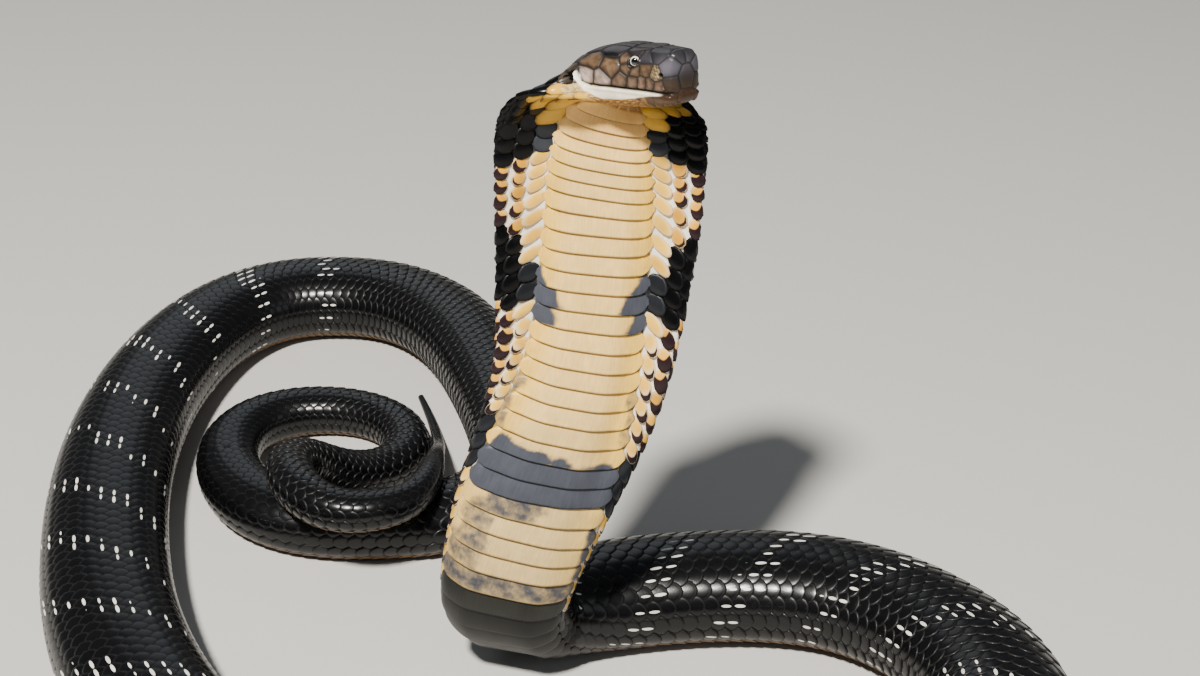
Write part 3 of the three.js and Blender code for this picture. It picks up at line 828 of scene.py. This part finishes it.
def throat_tint(s, turn, lx, radius):
    """Tan, darker towards the jaw, partly by painted shade under the head, paler towards the
    scutes, and a little darker at the rims.
    """
    wave = (0.9 + 0.2 * RANDOM.random(len(s)))[:, None, None]
    tan = over(TAN * 0.80, mix(TAN, CREAM, 0.35), smooth(s, 52, 66)[:, None])
    return over(tan * wave, TAN * 0.4, 0.16 * smooth(radius, 0.7, 1.0))


def lay_hood_scales(name, low, high):
    """Scales of the hood and the neck: narrow spindles on the pale flank,
    lobes behind the jaw, broad lozenges elsewhere, leaning outward on the spread skin;
    where the hide is stretched, a second set fills in."""
    s, turn = row_grid(low, high, HOOD_ROWS, 0.0)
    more, other = row_grid(low, min(high, 68), HOOD_ROWS, 0.0)
    more = more + 0.5 * pitch_at(more)
    steep = stretch(more, other) > 1.35
    s, turn = np.append(s, more[steep]), np.append(turn, other[steep])
    e = edge_distance(s, turn)
    spread = (1 - smooth(e, 30, 42)) * (1 - smooth(s, 255, 360)) * smooth(s, 48, 56)
    jaw = jaw_flank(s, turn)
    pale = np.maximum(pale_flank(s, turn), jaw) * spread
    lobe = jaw * smooth(s, 57, 64)
    low_neck = smooth(s, 186, 198)
    outer = smooth(e, 7, 13)
    ahead = mix(mix(0.76, 0.60, low_neck), 0.56, outer)
    half_long = pitch_at(s) * mix(mix(0.68, ahead, pale), 1.1, lobe)
    spindle = mix(0.37, 0.42, outer) * mix(1, 1.35, jaw) * mix(1, 1.28, low_neck)
    half_wide = 2 * reach(s) / HOOD_ROWS * mix(mix(0.70, 0.62, spread), spindle, pale)
    outward = mix(0.88, 0.40, smooth(e, 5, 24)) * mix(1, 1.3, lobe) * mix(1, 0.42, low_neck)
    scales(name, s, turn, half_long / np.clip(stretch(s, turn) / 1.2, 1, 3), half_wide,
           -np.sign(turn) * outward * spread, mix(0.45, 0.85, spread), mix(0.25, 0.75, spread),
           mix(1.7, 2.4, pale), hood_tint, HOOD_SKIN)


def lay_throat():
    """Soft flat scales across the throat, from the jaw to the scutes."""
    rows, step = 7, 4.0
    at = np.arange(50, 63, step)
    number = np.arange(rows)
    s = (at[:, None] + np.where(number % 2 == 1, step / 2, 0.0)).ravel()
    turn = np.broadcast_to(1.0 + (2 * number + 1) / rows, (len(at), rows)).ravel()
    scales("scales_throat", s, turn, 3.0, 2 * reach(s, belly=True) / rows * 0.72, 0.0,
           mix(0.1, -0.25, smooth(s, 58, 64)), 0.2, 2.0, throat_tint, SHIELD_SKIN)


def lay_scales():
    """All the small scales, in pieces short enough to keep whole."""
    lay_hood_scales("scales_hood", SCALES_FROM, HOOD_CUT)
    lay_hood_scales("scales_neck", HOOD_CUT, NECK_END)
    for name, low, high, rows in BACK_PIECES:
        s, turn = row_grid(low, high, rows)
        size = smooth(reach(s) * 2 / rows, 0.5, 8)
        scales(name, s, turn, pitch_at(s) * 0.70, 2 * reach(s) / rows * 0.72, 0.0,
               mix(-0.5, 0.34, size), mix(0.05, 0.32, size), 1.6, back_tint, SCALE_SKIN)
    lay_throat()


# Belly scutes
SCUTE_COLUMNS, SCUTE_ROWS = 41, 7
SCUTE_ENDS = (0.985, 3.015)          # the turns between which a scute lies
SHOWN_ROW = 3                        # the row in the middle of what the plate before leaves bare
# s and how far a scute's right end lies behind its middle
SLANT = [(74, -5), (110, -4), (129, -1.4), (138, 0), (190, 0), (215, 1.7), (237, 4.5), (272, 7),
         (290, 7), (306, 3.5), (350, 2), (420, 0)]
SCUTE_PIECES = [("scutes_neck", 64, NECK_END), ("scutes_body_1", NECK_END, 1340),
                ("scutes_body_2", 1340, PAIRED_FROM)]


def scutes(name, s, low, high, overlap, rear, crown):
    """Wide plates across the belly. Along the body each climbs from its root to a free,
    rounded rear edge; across, its two ends are rounded off and come down to the skin."""
    b = np.sin(np.linspace(-1, 1, SCUTE_COLUMNS) * np.pi / 2 * 0.985)
    x = np.array([-1, -0.5, 0.0, 0.4, 0.8, 0.93, 1.0])
    end = np.clip((np.abs(b) - 0.72) / 0.28, 0, 1)
    lx = x[:, None] * np.sqrt(np.maximum(1 - end ** 2, 0.02))
    lx = np.concatenate([lx, lx[::-1]])
    ly = np.broadcast_to(b, lx.shape)
    s, rear = s[:, None, None], rear[:, None, None]
    t_at = (low + high) / 2 + (high - low) / 2 * ly + 0 * s
    bow = mix(0.45, 0.15, smooth(s, 80, 125)) * (1 - b ** 2 - 0.67)
    s_at = s + pitch_at(s) * overlap / 2 * (lx + bow) + straight(SLANT, s) * (t_at - 2)
    spot, normal = hide(s_at, t_at)
    climb = np.clip(0.5 + 0.5 * lx, 0, 1)
    edge = np.maximum(smooth(np.abs(lx), 0.9, 1.0) * (lx > 0), smooth(np.abs(ly), 0.95, 1.0))
    swell = (1 - lx ** 2) * (crown * (1 - ly ** 2) + 0.55 * hump(np.abs(ly), 0.86, 0.09))
    top = mix(ROOT_DEPTH, rear, climb ** 0.9) - 0.30 * edge + swell * smooth(rear, -0.1, 1.0)
    under = np.arange(len(lx))[:, None] >= SCUTE_ROWS
    points = spot + normal * np.where(under, ROOT_DEPTH - 0.4, top)[..., None]
    piece_faces = scute_faces(*lx.shape)
    faces = (piece_faces + (np.arange(len(s)) * lx.size)[:, None, None]).reshape(-1, 4)
    piece = new_piece(name, points.reshape(-1, 3), faces, SCUTE_SKIN)
    paint(piece, "tint", scute_tint(s_at, t_at, lx).reshape(-1, 4))
    fine = np.broadcast_arrays(np.maximum(edge, smooth(lx, 0.80, 0.97)),
                               RANDOM.random((len(s), 1, 1)), climb, 0.5 + 0.5 * ly)
    paint(piece, "fine", np.stack(fine, -1).reshape(-1, 4))
    u, w = bake_place(s + 0 * t_at, t_at)
    unwrap(piece, faces, (u + SCUTE_PATCH * lx).ravel()[faces], w.ravel()[faces])


def scute_faces(rows, columns):
    """Faces of one plate: its top and underside as one grid, closed at its root and ends."""
    last = (rows - 1) * columns
    j = np.arange(columns - 1)
    closing = np.stack([last + j, last + j + 1, j + 1, j], -1)
    left = np.arange(SCUTE_ROWS - 1) * columns
    mirror = last - left
    sides = [np.stack([left, left + columns, mirror - columns, mirror], -1),
             np.stack([left + columns, left, mirror, mirror - columns], -1) + columns - 1]
    return np.vstack([grid_faces(rows, columns), closing] + sides)


def scute_tint(s, turn, lx):
    """The belly's colour, nearly one and the same over a scute, with a thin brown line along its
    rear edge, partly the seam's own dark and partly painted shade, and a paler band before it,
    which is a painted highlight; the fourth value lacks the dark share."""
    middle = s[:, SHOWN_ROW, SCUTE_COLUMNS // 2][:, None, None]
    shown = 0.12 * s + 0.88 * middle
    dark = belly_dark(shown, turn, s)
    tint = over(belly_tint(shown, turn), SLATE, smooth(dark, 0.70, 0.95))
    # A painted highlight just before the rear edge, which also thins the dark share there.
    rear_highlight = window(lx, 0.62, 0.80, 0.08)
    tint = over(tint, np.minimum(tint * 1.22, 0.85), 0.6 * rear_highlight)
    # The rear edge's line: partly its own dark colour, partly painted shade under the edge.
    line = smooth(lx, 0.84, 0.97)
    seam = over(tint * np.array([0.26, 0.18, 0.12]), JET * 2, dark)
    dark = dark * (1 - 0.9 * line) * (1 - 0.16 * rear_highlight)
    return np.concatenate([over(tint, seam, 0.92 * line), 1 - dark[..., None]], -1)


def lay_scutes():
    """Single plates to the vent, paired ones under most of the tail."""
    for name, low, high in SCUTE_PIECES:
        s = rows_in(low, high)
        scutes(name, s, *SCUTE_ENDS, 1.28, mix(1.15, -0.08, smooth(s, 400, 450)), 0.25)
    s = rows_in(PAIRED_FROM, TAIL_END)
    for name, low, high in [("scutes_tail_left", 1.0, 1.99), ("scutes_tail_right", 2.01, 3.0)]:
        scutes(name, s, low, high, 1.4, mix(-0.10, -0.5, smooth(s, 2900, 3100)), 0.1)


# The skin under the scales
FLESH = (["head", "hood_upper", "hood_lower", "neck_base"] + [f"body_{i}" for i in range(1, 13)]
         + [f"tail_{i}" for i in range(1, 10)])
SKIN_DEPTH, HEAD_SKIN_DEPTH = 0.8, 3.6        # how far the skin lies inside the solids
SKIN_ROUND = 160


def lay_skin():
    """One closed surface from the snout to the tip of the tail, a little inside the solids
    and well inside the head, whose shields lie over it."""
    s = np.concatenate([np.arange(5, HEAD_END, 2.5), np.arange(HEAD_END, NECK_END, 4.0),
                        np.arange(NECK_END, LENGTH - 3, 9.0), [LENGTH - 2.0, LENGTH - 1.0]])
    turn = -1 + np.arange(SKIN_ROUND) * 4 / SKIN_ROUND
    spot, normal = hide(s[:, None], turn[None, :])
    depth = mix(HEAD_SKIN_DEPTH, SKIN_DEPTH, smooth(s, 47, 56))
    depth = depth * mix(1, 0.35, smooth(s, 3000, LENGTH))
    points = spot - normal * depth[:, None, None]
    points = np.vstack([points.reshape(-1, 3), points[[0, -1]].mean(1)])
    faces = tube_faces(len(s), SKIN_ROUND, turned=False)
    piece = new_piece("skin", points, faces, HIDE_SKIN)
    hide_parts(*FLESH)
    s_all = np.concatenate([np.repeat(s, SKIN_ROUND), s[[0, -1]]])
    round_all = np.tile(turn, len(s))
    paint(piece, "tint", hide_tint(s_all, np.append(round_all, [0, 0])))
    corner = corners_of(faces)
    strip = s_all[corner] / LENGTH * 4
    row = np.floor(np.clip(strip.min(1), 0, 3.999))[:, None]
    v = past_seam((np.append(round_all, [1, 1])[corner] + 1) / 4)
    u = np.clip(0.004 + 0.992 * (strip - row), 0.0005, 0.9995)
    unwrap(piece, faces, u, (row + 0.01 + 0.98 * v) / 4)


# The head
SHELL_END = 56.5                     # where the shell of shields ends behind the jaw
SHELL_ROWS, SHELL_ROUND = 230, 330   # its points along the head and round it
SNOUT_CAP = 3.0                      # depth of the quarter ellipse that closes the snout
EYE_AT, EYE_UP = 24.0, 13.1          # the eye's s, and its height above the mouth
EYE_SINK, EYE_BALL, EYE_HOLE = 1.45, 2.9, 2.5    # its depth, and the radii of ball and hole
NOSTRIL = (7.2, 10.6, 8.8)           # s, x to the side, y above the line of the mouth
# s, x to the side, y above the line of the mouth, size, colour of the shield
SHIELDS = [
    (0.4, 0.0, 7.6, 6, "front"), (4.6, 2.8, 19.4, 4, "top"), (11.0, 6.4, 18.8, 24, "top"),
    (27.5, 0.0, 18.0, 8, "crown"), (26.0, 8.2, 17.0, 6, "crown"),
    (38.2, 9.0, 16.6, 20, "crown"), (38.0, 2.5, 17.4, 10, "crown"),
    (49.5, 7.5, 16.8, 10, "crown"), (46.5, 17.8, 11.6, 4, "cheek"), (36.2, 17.4, 9.6, 8, "cheek"),
    (48.5, 21.4, 4.6, 4, "rear"), (40.5, 19.5, 3.4, 4, "rear"), (29.8, 16.9, 3.7, 0, "lip"),
    (22.8, 15.0, 3.0, 0, "lip"), (18.0, 13.7, 3.0, 0, "lip"), (13.5, 12.5, 3.1, 0, "lip"),
    (8.5, 11.2, 2.3, 0, "lip"), (2.4, 8.2, 5.4, 2, "front"), (10.2, 11.5, 8.4, 0, "nose"),
    (3.6, 8.9, 12.6, 10, "snout"), (16.2, 12.6, 10.0, 0, "cheek"),
    (17.2, 10.9, 15.1, -2, "snout"), (28.8, 13.4, 13.9, -4, "cheek"),
    (27.0, 15.1, 9.7, -4, "cheek"), (22.5, 14.4, 8.6, -4, "cheek"),
    (54.5, 5.0, 16.5, 0, "nape"), (54.5, 15.0, 15.0, 0, "nape"), (55.0, 24.0, 11.0, 0, "nape"),
    (55.5, 31.0, 6.0, 0, "nape"),
    (1.4, 0.0, -2.8, 0, "chin"), (4.6, 8.6, -2.4, 0, "jaw"), (9.0, 10.8, -3.0, 0, "jaw"),
    (14.2, 12.2, -3.6, 0, "jaw"), (20.2, 14.0, -4.2, 0, "jaw"), (27.0, 16.0, -4.6, 0, "jaw"),
    (34.5, 18.0, -4.8, 0, "jaw"), (42.2, 20.0, -4.6, 0, "corner"), (50.0, 22.6, -4.6, 0, "corner"),
    (9.0, 4.0, -7.0, 4, "chin"), (19.0, 4.4, -9.8, 6, "chin")]
# Shield colours. The blue-grey of "snout" is partly a painted sheen; "front" is partly the snout's
# own dark brown and partly painted shade; "jaw", "chin" and "throat" are their own browns darkened
# partly by painted shade under the head.
SHIELD_COLOURS = {
    "top": (0.014, 0.013, 0.016), "snout": (0.078, 0.071, 0.086), "front": (0.034, 0.020, 0.011),
    "crown": (0.020, 0.016, 0.017), "cheek": (0.098, 0.060, 0.034), "lip": (0.112, 0.070, 0.045),
    "rear": (0.260, 0.200, 0.165), "nose": (0.20, 0.145, 0.078),
    "nape": (0.040, 0.028, 0.018), "jaw": (0.040, 0.018, 0.007), "chin": (0.038, 0.017, 0.007),
    "throat": (0.40, 0.195, 0.050), "corner": (0.58, 0.40, 0.17)}
AHEAD = ["top", "snout", "front"]
UPPER = AHEAD + ["crown", "cheek", "lip", "rear", "nose", "nape"]
MOTTLED = ["cheek", "rear", "crown", "lip", "nose"]
SEAM_BLACK = (0.006, 0.005, 0.005)
# s and the lower edge of the cream band under the mouth
CREAM_EDGE = [(4, -0.7), (6.8, -1.3), (14.2, -2.6), (22.5, -4.6), (31, -6.2), (43.2, -7.1),
              (47, -6.4), (50.5, -3.3), (51.5, 2.7), (53, 8)]


def head_section(s, angle):
    """The body's own section, closed at the snout by a quarter ellipse 3 mm deep."""
    x, y = section(np.maximum(s, SNOUT_CAP), angle)
    cap = np.sqrt(np.clip(1 - (1 - np.minimum(s, SNOUT_CAP) / SNOUT_CAP) ** 2, 1e-5, 1))
    return x * cap, y * cap


def throat_sites():
    """Small throat scales: rows along the jaw, alternate ones set back by half a step."""
    sites = []
    for k, tilt in enumerate((-86, -72, -59, -47, -36, -26, -17)):
        for s in np.arange(25 + 2.3 * (k % 2) - 1.2 * k, 58, 4.6):
            if s > 8 + 2.4 * (6 - k):
                x, y = section(s, math.radians(tilt))
                sites.append((s, float(x), float(y), 0, "throat"))
    return sites


def shield_fields(q):
    """For points in head space: the number of the shield whose squared distance less its
    size is least, and how far the nearest seam with another shield is."""
    rows = SHIELDS + throat_sites()
    rows = rows + [(a, -b, c, d, e) for a, b, c, d, e in rows if b > 0.05]
    sites = np.array([r[:3] for r in rows], float)
    size = np.array([r[3] for r in rows], float)
    power = ((q[:, None, :] - sites[None]) ** 2).sum(-1) - size
    order = np.argpartition(power, 1, axis=1)[:, :2]
    pair = np.take_along_axis(power, order, 1)
    swap = pair[:, 0] > pair[:, 1]
    order[swap], pair[swap] = order[swap][:, ::-1], pair[swap][:, ::-1]
    apart = np.linalg.norm(sites[order[:, 0]] - sites[order[:, 1]], axis=1)
    return order[:, 0], (pair[:, 1] - pair[:, 0]) / (2 * apart), np.array([r[4] for r in rows])


def eye_centre(hand):
    """The eyeball's centre: under the side of the head, at the brow's height."""
    centre, side, back, _, girth = on_line(EYE_AT)
    power = through(SQUARENESS, EYE_AT)[..., 0]
    v = (EYE_UP / girth[1]) ** (1 / power)
    x = girth[0] * math.sqrt(1 - v * v) ** power - EYE_SINK
    return centre + back * EYE_UP + side * hand * x, side * hand, back, x


def head_grid():
    """s and the angles of the shell's points, evenly spaced by arc length both ways."""
    rough_s = np.concatenate([np.linspace(0, 1, 60) ** 2 * 3, np.linspace(3.1, SHELL_END, 300)])
    knots = np.linspace(-math.pi / 2, 1.5 * math.pi, 721)
    x, y = head_section(rough_s[:, None], knots[None])
    steps = (np.diff(v, axis=0) ** 2 for v in (x, y, rough_s[:, None]))
    walk = summed(np.sqrt(sum(steps)).max(1))
    s = np.interp(np.linspace(0.002, 1, SHELL_ROWS) * walk[-1], walk, rough_s)
    angle = np.empty((SHELL_ROWS, SHELL_ROUND))
    for i, at in enumerate(s):
        x, y = head_section(max(at, SNOUT_CAP / 2), knots)
        arc = summed(np.hypot(np.diff(x), np.diff(y)))
        angle[i] = np.interp(np.arange(SHELL_ROUND) / SHELL_ROUND * arc[-1], arc, knots)
    return np.broadcast_to(s[:, None], angle.shape), angle


def with_tips(grid):
    """A grid's values point by point, then the means of its first and its last row."""
    return np.vstack([grid.reshape(-1, grid.shape[-1]), grid[0].mean(0), grid[-1].mean(0)])


def lay_head():
    """The head's shields as one fine shell: its section lowered along the seams, swollen
    at the lips, brow and cheek, and sunk at the eyes, the nostrils and the mouth."""
    s, angle = head_grid()
    x, y, spot, along, across = spread_out(head_section, s, angle)
    normal = unit(np.cross(along, across))
    shield, seam, kinds = shield_fields(np.stack([s, x, y], -1).reshape(-1, 3))
    shield, seam = shield.reshape(x.shape), seam.reshape(x.shape)
    lift, masks = head_relief(s, x, y, angle, seam, kinds[shield])
    lift = lift - 3.4 * smooth(s, SHELL_END - 2.5, SHELL_END)
    faces = tube_faces(SHELL_ROWS, SHELL_ROUND, turned=True)
    piece = new_piece("head_shields", with_tips(spot + normal * lift[..., None]), faces,
                      SHIELD_SKIN)
    paint(piece, "tint", with_tips(head_tint(s, x, y, seam, kinds[shield], shield, masks)))
    tone = RANDOM.random(len(kinds))[shield]
    fine = np.stack([np.clip(1 - seam / 2.2, 0, 1), tone, 0 * tone], -1).reshape(-1, 3)
    paint(piece, "fine", np.vstack([fine, fine[:1], fine[-1:]]))
    corner = corners_of(faces)
    u = np.repeat(np.arange(SHELL_ROWS) / (SHELL_ROWS - 1), SHELL_ROUND)
    v = np.tile(np.arange(SHELL_ROUND) / SHELL_ROUND, SHELL_ROWS)
    unwrap(piece, faces, 0.01 + 0.98 * np.append(u, [0, 1])[corner],
           0.01 + 0.98 * past_seam(np.append(v, [0.5, 0.5])[corner]))


def head_relief(s, x, y, angle, seam, kind):
    """Height over the plain section: seams and domes of the shields, the groove between
    the lips, brow, ridge and cheek, the eye's socket and ring, the nostril's pit, and the
    throat's folds. Also the masks that colour needs."""
    small = kind == "throat"
    rear = smooth(s, 14, 30)
    deep = np.where(small, 0.16, np.where(np.isin(kind, AHEAD), 0.09, mix(0.15, 0.20, rear)))
    groove = -deep * hump(seam, 0, np.where(small, 0.5, mix(0.30, 0.46, rear)))
    dome = np.where(small, 0.16, 0.30) * smooth(seam, 0, 1.6)
    gape = y / 0.6
    lipward = smooth(s, 0.4, 2.5) * (1 - smooth(s, 46, 51))
    mouth = lipward * (0.5 * hump(np.abs(y), 1.7, 1.1) - 1.25 * hump(gape, 0, 1))
    tilt = np.degrees(np.arcsin(np.clip(np.sin(angle), -1, 1)))
    brow = 0.9 * hump(tilt, 66, 8) * hump(s, EYE_AT - 1, 6.0)
    ridge = 0.4 * hump(tilt, 60, 9) * window(s, 6, 19, 4)
    cheek = 0.7 * hump(s, 42, 8) * hump(y, 5, 5)
    across = np.hypot(np.abs(x) - (eye_centre(1)[3] + EYE_SINK), y - EYE_UP) * np.sign(y - EYE_UP)
    d = np.hypot(s - EYE_AT, across)
    socket = -2.5 * (1 - smooth(d, EYE_HOLE - 0.75, EYE_HOLE + 0.1))
    ring = 0.40 * hump(d, EYE_HOLE + 0.65, 0.5) - 0.22 * hump(d, EYE_HOLE + 1.6, 0.4)
    near = np.hypot((s - NOSTRIL[0]) / 1.35, np.hypot(np.abs(x) - NOSTRIL[1], y - NOSTRIL[2]))
    pit = 0.30 * hump(near, 1.5, 0.4) - 1.9 * (1 - smooth(near, 0.45, 1.05))
    low_edge = straight(CREAM_EDGE, s)
    below = 1 - smooth(y, low_edge - 1.2, low_edge)
    folds = 0.16 * np.sin(angle * 46 + 1.2 * np.sin(s * 0.35)) * below * rear
    lift = (groove + dome) * np.where(y < 0, below, 1)
    lift = lift * (1 - smooth(hump(gape, 0, 1), 0.2, 0.9)) * (d > EYE_HOLE + 0.3)
    lift = lift + mouth + brow + ridge + cheek
    lift = np.where(d < EYE_HOLE + 0.3, 0.2 + brow, lift) + socket + ring + pit + folds
    mouth_line = hump(gape, 0, 1.25) * lipward
    return lift, {"eye": d, "nostril": near, "mouth": mouth_line, "folds": folds}


def mottle(s, x, y, size):
    """Blotches between -1 and 1 in the head's own space."""
    a, b, c = s / size, x / size, y / size
    return (np.sin(1.3 * a + 2.1 * b + np.sin(1.9 * c))
            + np.sin(2.3 * a - 1.2 * c + np.sin(1.7 * b))
            + np.sin(1.7 * c + 1.1 * b + np.sin(2.9 * a))) / 3


def head_tint(s, x, y, seam, kind, shield, masks):
    """Each shield's own colour, mottled, with a painted highlight in its middle, black seams, a
    cream band under the mouth, an amber throat, and dark rims at the eye and mouth. Painted light
    besides: a blue-grey sheen on the snout, near-black shade in the nostril's pit, shade in the
    troughs of the throat's folds, and shade that darkens the chin, the lower jaw and the snout's
    front over their own browns."""
    names = list(SHIELD_COLOURS)
    tint = np.array(list(SHIELD_COLOURS.values()))[np.vectorize(names.index)(kind)]
    upper, ahead = np.isin(kind, UPPER), np.isin(kind, AHEAD)
    # Upper shields paler in the middle than by the seams: a painted highlight on each dome.
    tint = tint * np.where(upper, 0.60 + 0.62 * smooth(seam, 0.2, 2.8), 1)[..., None]
    # Snout: a painted blue-grey sheen on its middle over a near-black top; low at the front a dark
    # brown that is partly the snout's own and partly painted shade on the face turned from the
    # light.
    snout_with_sheen = over(np.array([0.013, 0.012, 0.014]), (0.105, 0.098, 0.118),
                    hump(s, 5, 6) * hump(y, 13, 4.5))
    snout_with_sheen = over(snout_with_sheen, (0.040, 0.025, 0.015), hump(s, 2, 7) * (1 - smooth(y, 4, 9)))
    tint = over(tint, snout_with_sheen, 0.75 * ahead)
    wild = np.sin(shield * 12.9898) * 43758.5453
    tint = tint * (0.86 + 0.28 * (wild - np.floor(wild)))[..., None]
    blotch = smooth(mottle(s, x, y, 1.5) + 0.5 * mottle(s, x, y, 0.6), -0.2, 0.6)
    tint = over(tint, tint * (0.48, 0.42, 0.38), 0.62 * blotch * np.isin(kind, MOTTLED))
    speck = smooth(mottle(s, x, y, 0.5), -0.25, 0.35)
    tint = np.where((kind == "nose")[..., None], over(tint * 0.45, tint * 1.5, speck), tint)
    dusk = smooth(y, 12.5, 16.5) * smooth(s, 18, 26)
    tint = over(tint, (0.020, 0.016, 0.018), 0.55 * dusk * upper)
    patch = hump(s, 38, 5.5) * hump(np.abs(x), 14.2, 2.2) * hump(y, 14.3, 2.2) * upper
    tint = over(tint, JET * 1.5, 0.92 * smooth(patch, 0.15, 0.6))
    black = hump(seam, 0, np.where(upper, mix(0.40, 0.58, smooth(s, 14, 30)), 0.16))
    strength = np.where(upper, mix(0.92, 1.0, smooth(s, 12, 28)),
                        np.where(kind == "jaw", 0.2, 0.40))
    tint = over(tint, SEAM_BLACK, black * strength)
    corner = smooth(s, 44, 49) * smooth(y, -9, -6) * (1 - smooth(y, 6, 8)) * ~upper
    tint = over(tint, np.array([0.60, 0.44, 0.19]) * (1 - 0.35 * blotch)[..., None], 0.85 * corner)
    low_edge = straight(CREAM_EDGE, s)
    behind = np.interp(y, [-0.7, 1.4, 4.3, 7.1], [47.0, 49.9, 50.3, 50.6])
    lip = np.maximum(1 - smooth(y, -1.0, -0.3), smooth(s, behind, behind + 0.5))
    lip = smooth(y, low_edge - 0.45, low_edge + 0.45) * lip
    lip = lip * smooth(s, 5, 9) * (1 - smooth(s, 51.6, 52.6)) * (y < 7)
    tint = over(tint, (0.95, 0.88, 0.68), lip)
    tint = over(tint, SEAM_BLACK, hump(s, behind, 0.5) * window(y, -0.7, 8.5, 0.5))
    # Painted shade in the troughs of the throat's folds, below the cream band.
    shaded = smooth(-masks["folds"], 0.02, 0.14) * (y < -3) * (1 - lip)
    tint = over(tint, (0.12, 0.05, 0.02), 0.55 * shaded)
    # The chin and the front of the lower jaw: their own brown, darkened partly by painted shade
    # under the head.
    chin = (1 - smooth(s, 16, 34)) * (1 - smooth(y, -4, -2)) * (1 - lip)
    tint = over(tint, (0.085, 0.050, 0.028), 0.7 * chin)
    tint = over(tint, SEAM_BLACK, masks["mouth"] * 0.9)
    tint = over(tint, (0.008, 0.006, 0.006),
                1 - smooth(masks["eye"], EYE_HOLE + 0.5, EYE_HOLE + 1.4))
    # Near-black inside the nostril's pit: painted shade.
    return over(tint, (0.004, 0.003, 0.003), 1 - smooth(masks["nostril"], 0.6, 1.1))


def lay_eye(name, hand):
    """A ball with its pole on the line of sight; keeps each point's angle from the pole."""
    centre, out, back, _ = eye_centre(hand)
    tail = on_line(EYE_AT)[3]
    look = unit(0.82 * out - 0.5 * tail + 0.2 * back)
    up = unit(back - look * np.dot(back, look))
    third = np.cross(look, up)
    rings, columns = 40, 48
    theta = np.linspace(0, math.pi, rings + 2)[1:-1][:, None, None]
    phi = np.arange(columns)[None, :, None] * 2 * math.pi / columns
    ball = (np.cos(theta) * look + np.sin(theta) * np.cos(phi) * up
            + np.sin(theta) * np.sin(phi) * third)
    points = np.vstack([ball.reshape(-1, 3), look, -look]) * EYE_BALL + centre
    faces = tube_faces(rings, columns, turned=True)
    piece = new_piece(name, points, faces, EYE_GLOSS)
    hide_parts(name.replace("ball_", "eye_"))
    tilt = np.append(np.repeat(theta.ravel(), columns), [0, math.pi]) / math.pi
    spin = np.append(np.tile(phi.ravel(), rings), [0, 0]) / (2 * math.pi)
    paint(piece, "fine", np.stack([tilt, spin, 0 * tilt], -1))
    corner = corners_of(faces)
    unwrap(piece, faces, 0.01 + 0.98 * tilt[corner], 0.01 + 0.98 * past_seam(spin[corner]))


# Floor, light and camera
def link_object(name, data):
    """A new object in the scene."""
    thing = bpy.data.objects.new(name, data)
    bpy.context.scene.collection.objects.link(thing)
    return thing


def lay_stage():
    """A plain pale floor that rises into a backdrop far behind."""
    material, tree, shader = new_finish("pale floor")
    plug(tree, shader, {"Base Color": (0.56, 0.545, 0.52, 1), "Roughness": 0.9})
    y = np.interp(np.linspace(0, 1, 40), [0, 0.4, 1], [-4000, 3500, 6500])[:, None]
    z = 1800 * smooth(y, 3500, 6500) ** 1.5 - 0.15
    points = np.stack(np.broadcast_arrays([-7000.0, 7000.0], y, z), -1).reshape(-1, 3)
    mesh = bpy.data.meshes.new("floor")
    mesh.from_pydata((points * MM).tolist(), [], grid_faces(len(y), 2).tolist())
    mesh.materials.append(material)
    floor = link_object("floor", mesh)


def add_light(name, place, aim, size, power, colour):
    """A round soft lamp turned from its place to what it lights."""
    light = bpy.data.lights.new(name, "AREA")
    light.shape, light.size, light.energy, light.color = "DISK", size, power, colour
    lamp = link_object(name, light)
    lamp.location = place
    forward = unit(np.array(aim, float) - np.array(place, float))
    turn = math.atan2(forward[1], forward[0]) - math.pi / 2
    lamp.rotation_euler = (math.acos(-forward[2]), 0, turn)


def light_and_camera():
    """A dim even room, a small warm key lamp at the front left, two faint wide ones, and
    the camera, which looks down by 28 degrees."""
    world = bpy.data.worlds.new("soft room")
    world.use_nodes = True
    plug(world.node_tree, world.node_tree.nodes["Background"].inputs,
         {"Color": (0.86, 0.93, 1.0, 1), "Strength": 0.13})
    bpy.context.scene.world = world
    add_light("key", (-0.62, -1.70, 2.6), (0.0, 0.0, 0.15), 0.30, 235, (1.0, 0.965, 0.90))
    add_light("fill", (1.9, -1.6, 1.3), (0, 0, 0.15), 1.6, 5, (0.92, 0.96, 1.0))
    add_light("rim", (-0.5, 2.4, 1.5), (0, 0.1, 0.1), 1.6, 5, (0.86, 0.93, 1.0))
    camera = bpy.data.cameras.new("camera")
    camera.sensor_fit, camera.sensor_width, camera.lens = "HORIZONTAL", 36.0, 60.0
    camera.clip_start, camera.clip_end = 0.05, 50
    eye = link_object("camera", camera)
    eye.location = (0.04892, -1.05047, 0.720)
    eye.rotation_euler = (math.radians(90 - 28), 0, 0)
    bpy.context.scene.camera = eye


light_and_camera()
lay_stage()
lay_skin()
lay_head()
lay_eye("ball_left", 1)
lay_eye("ball_right", -1)
lay_scales()
lay_scutes()
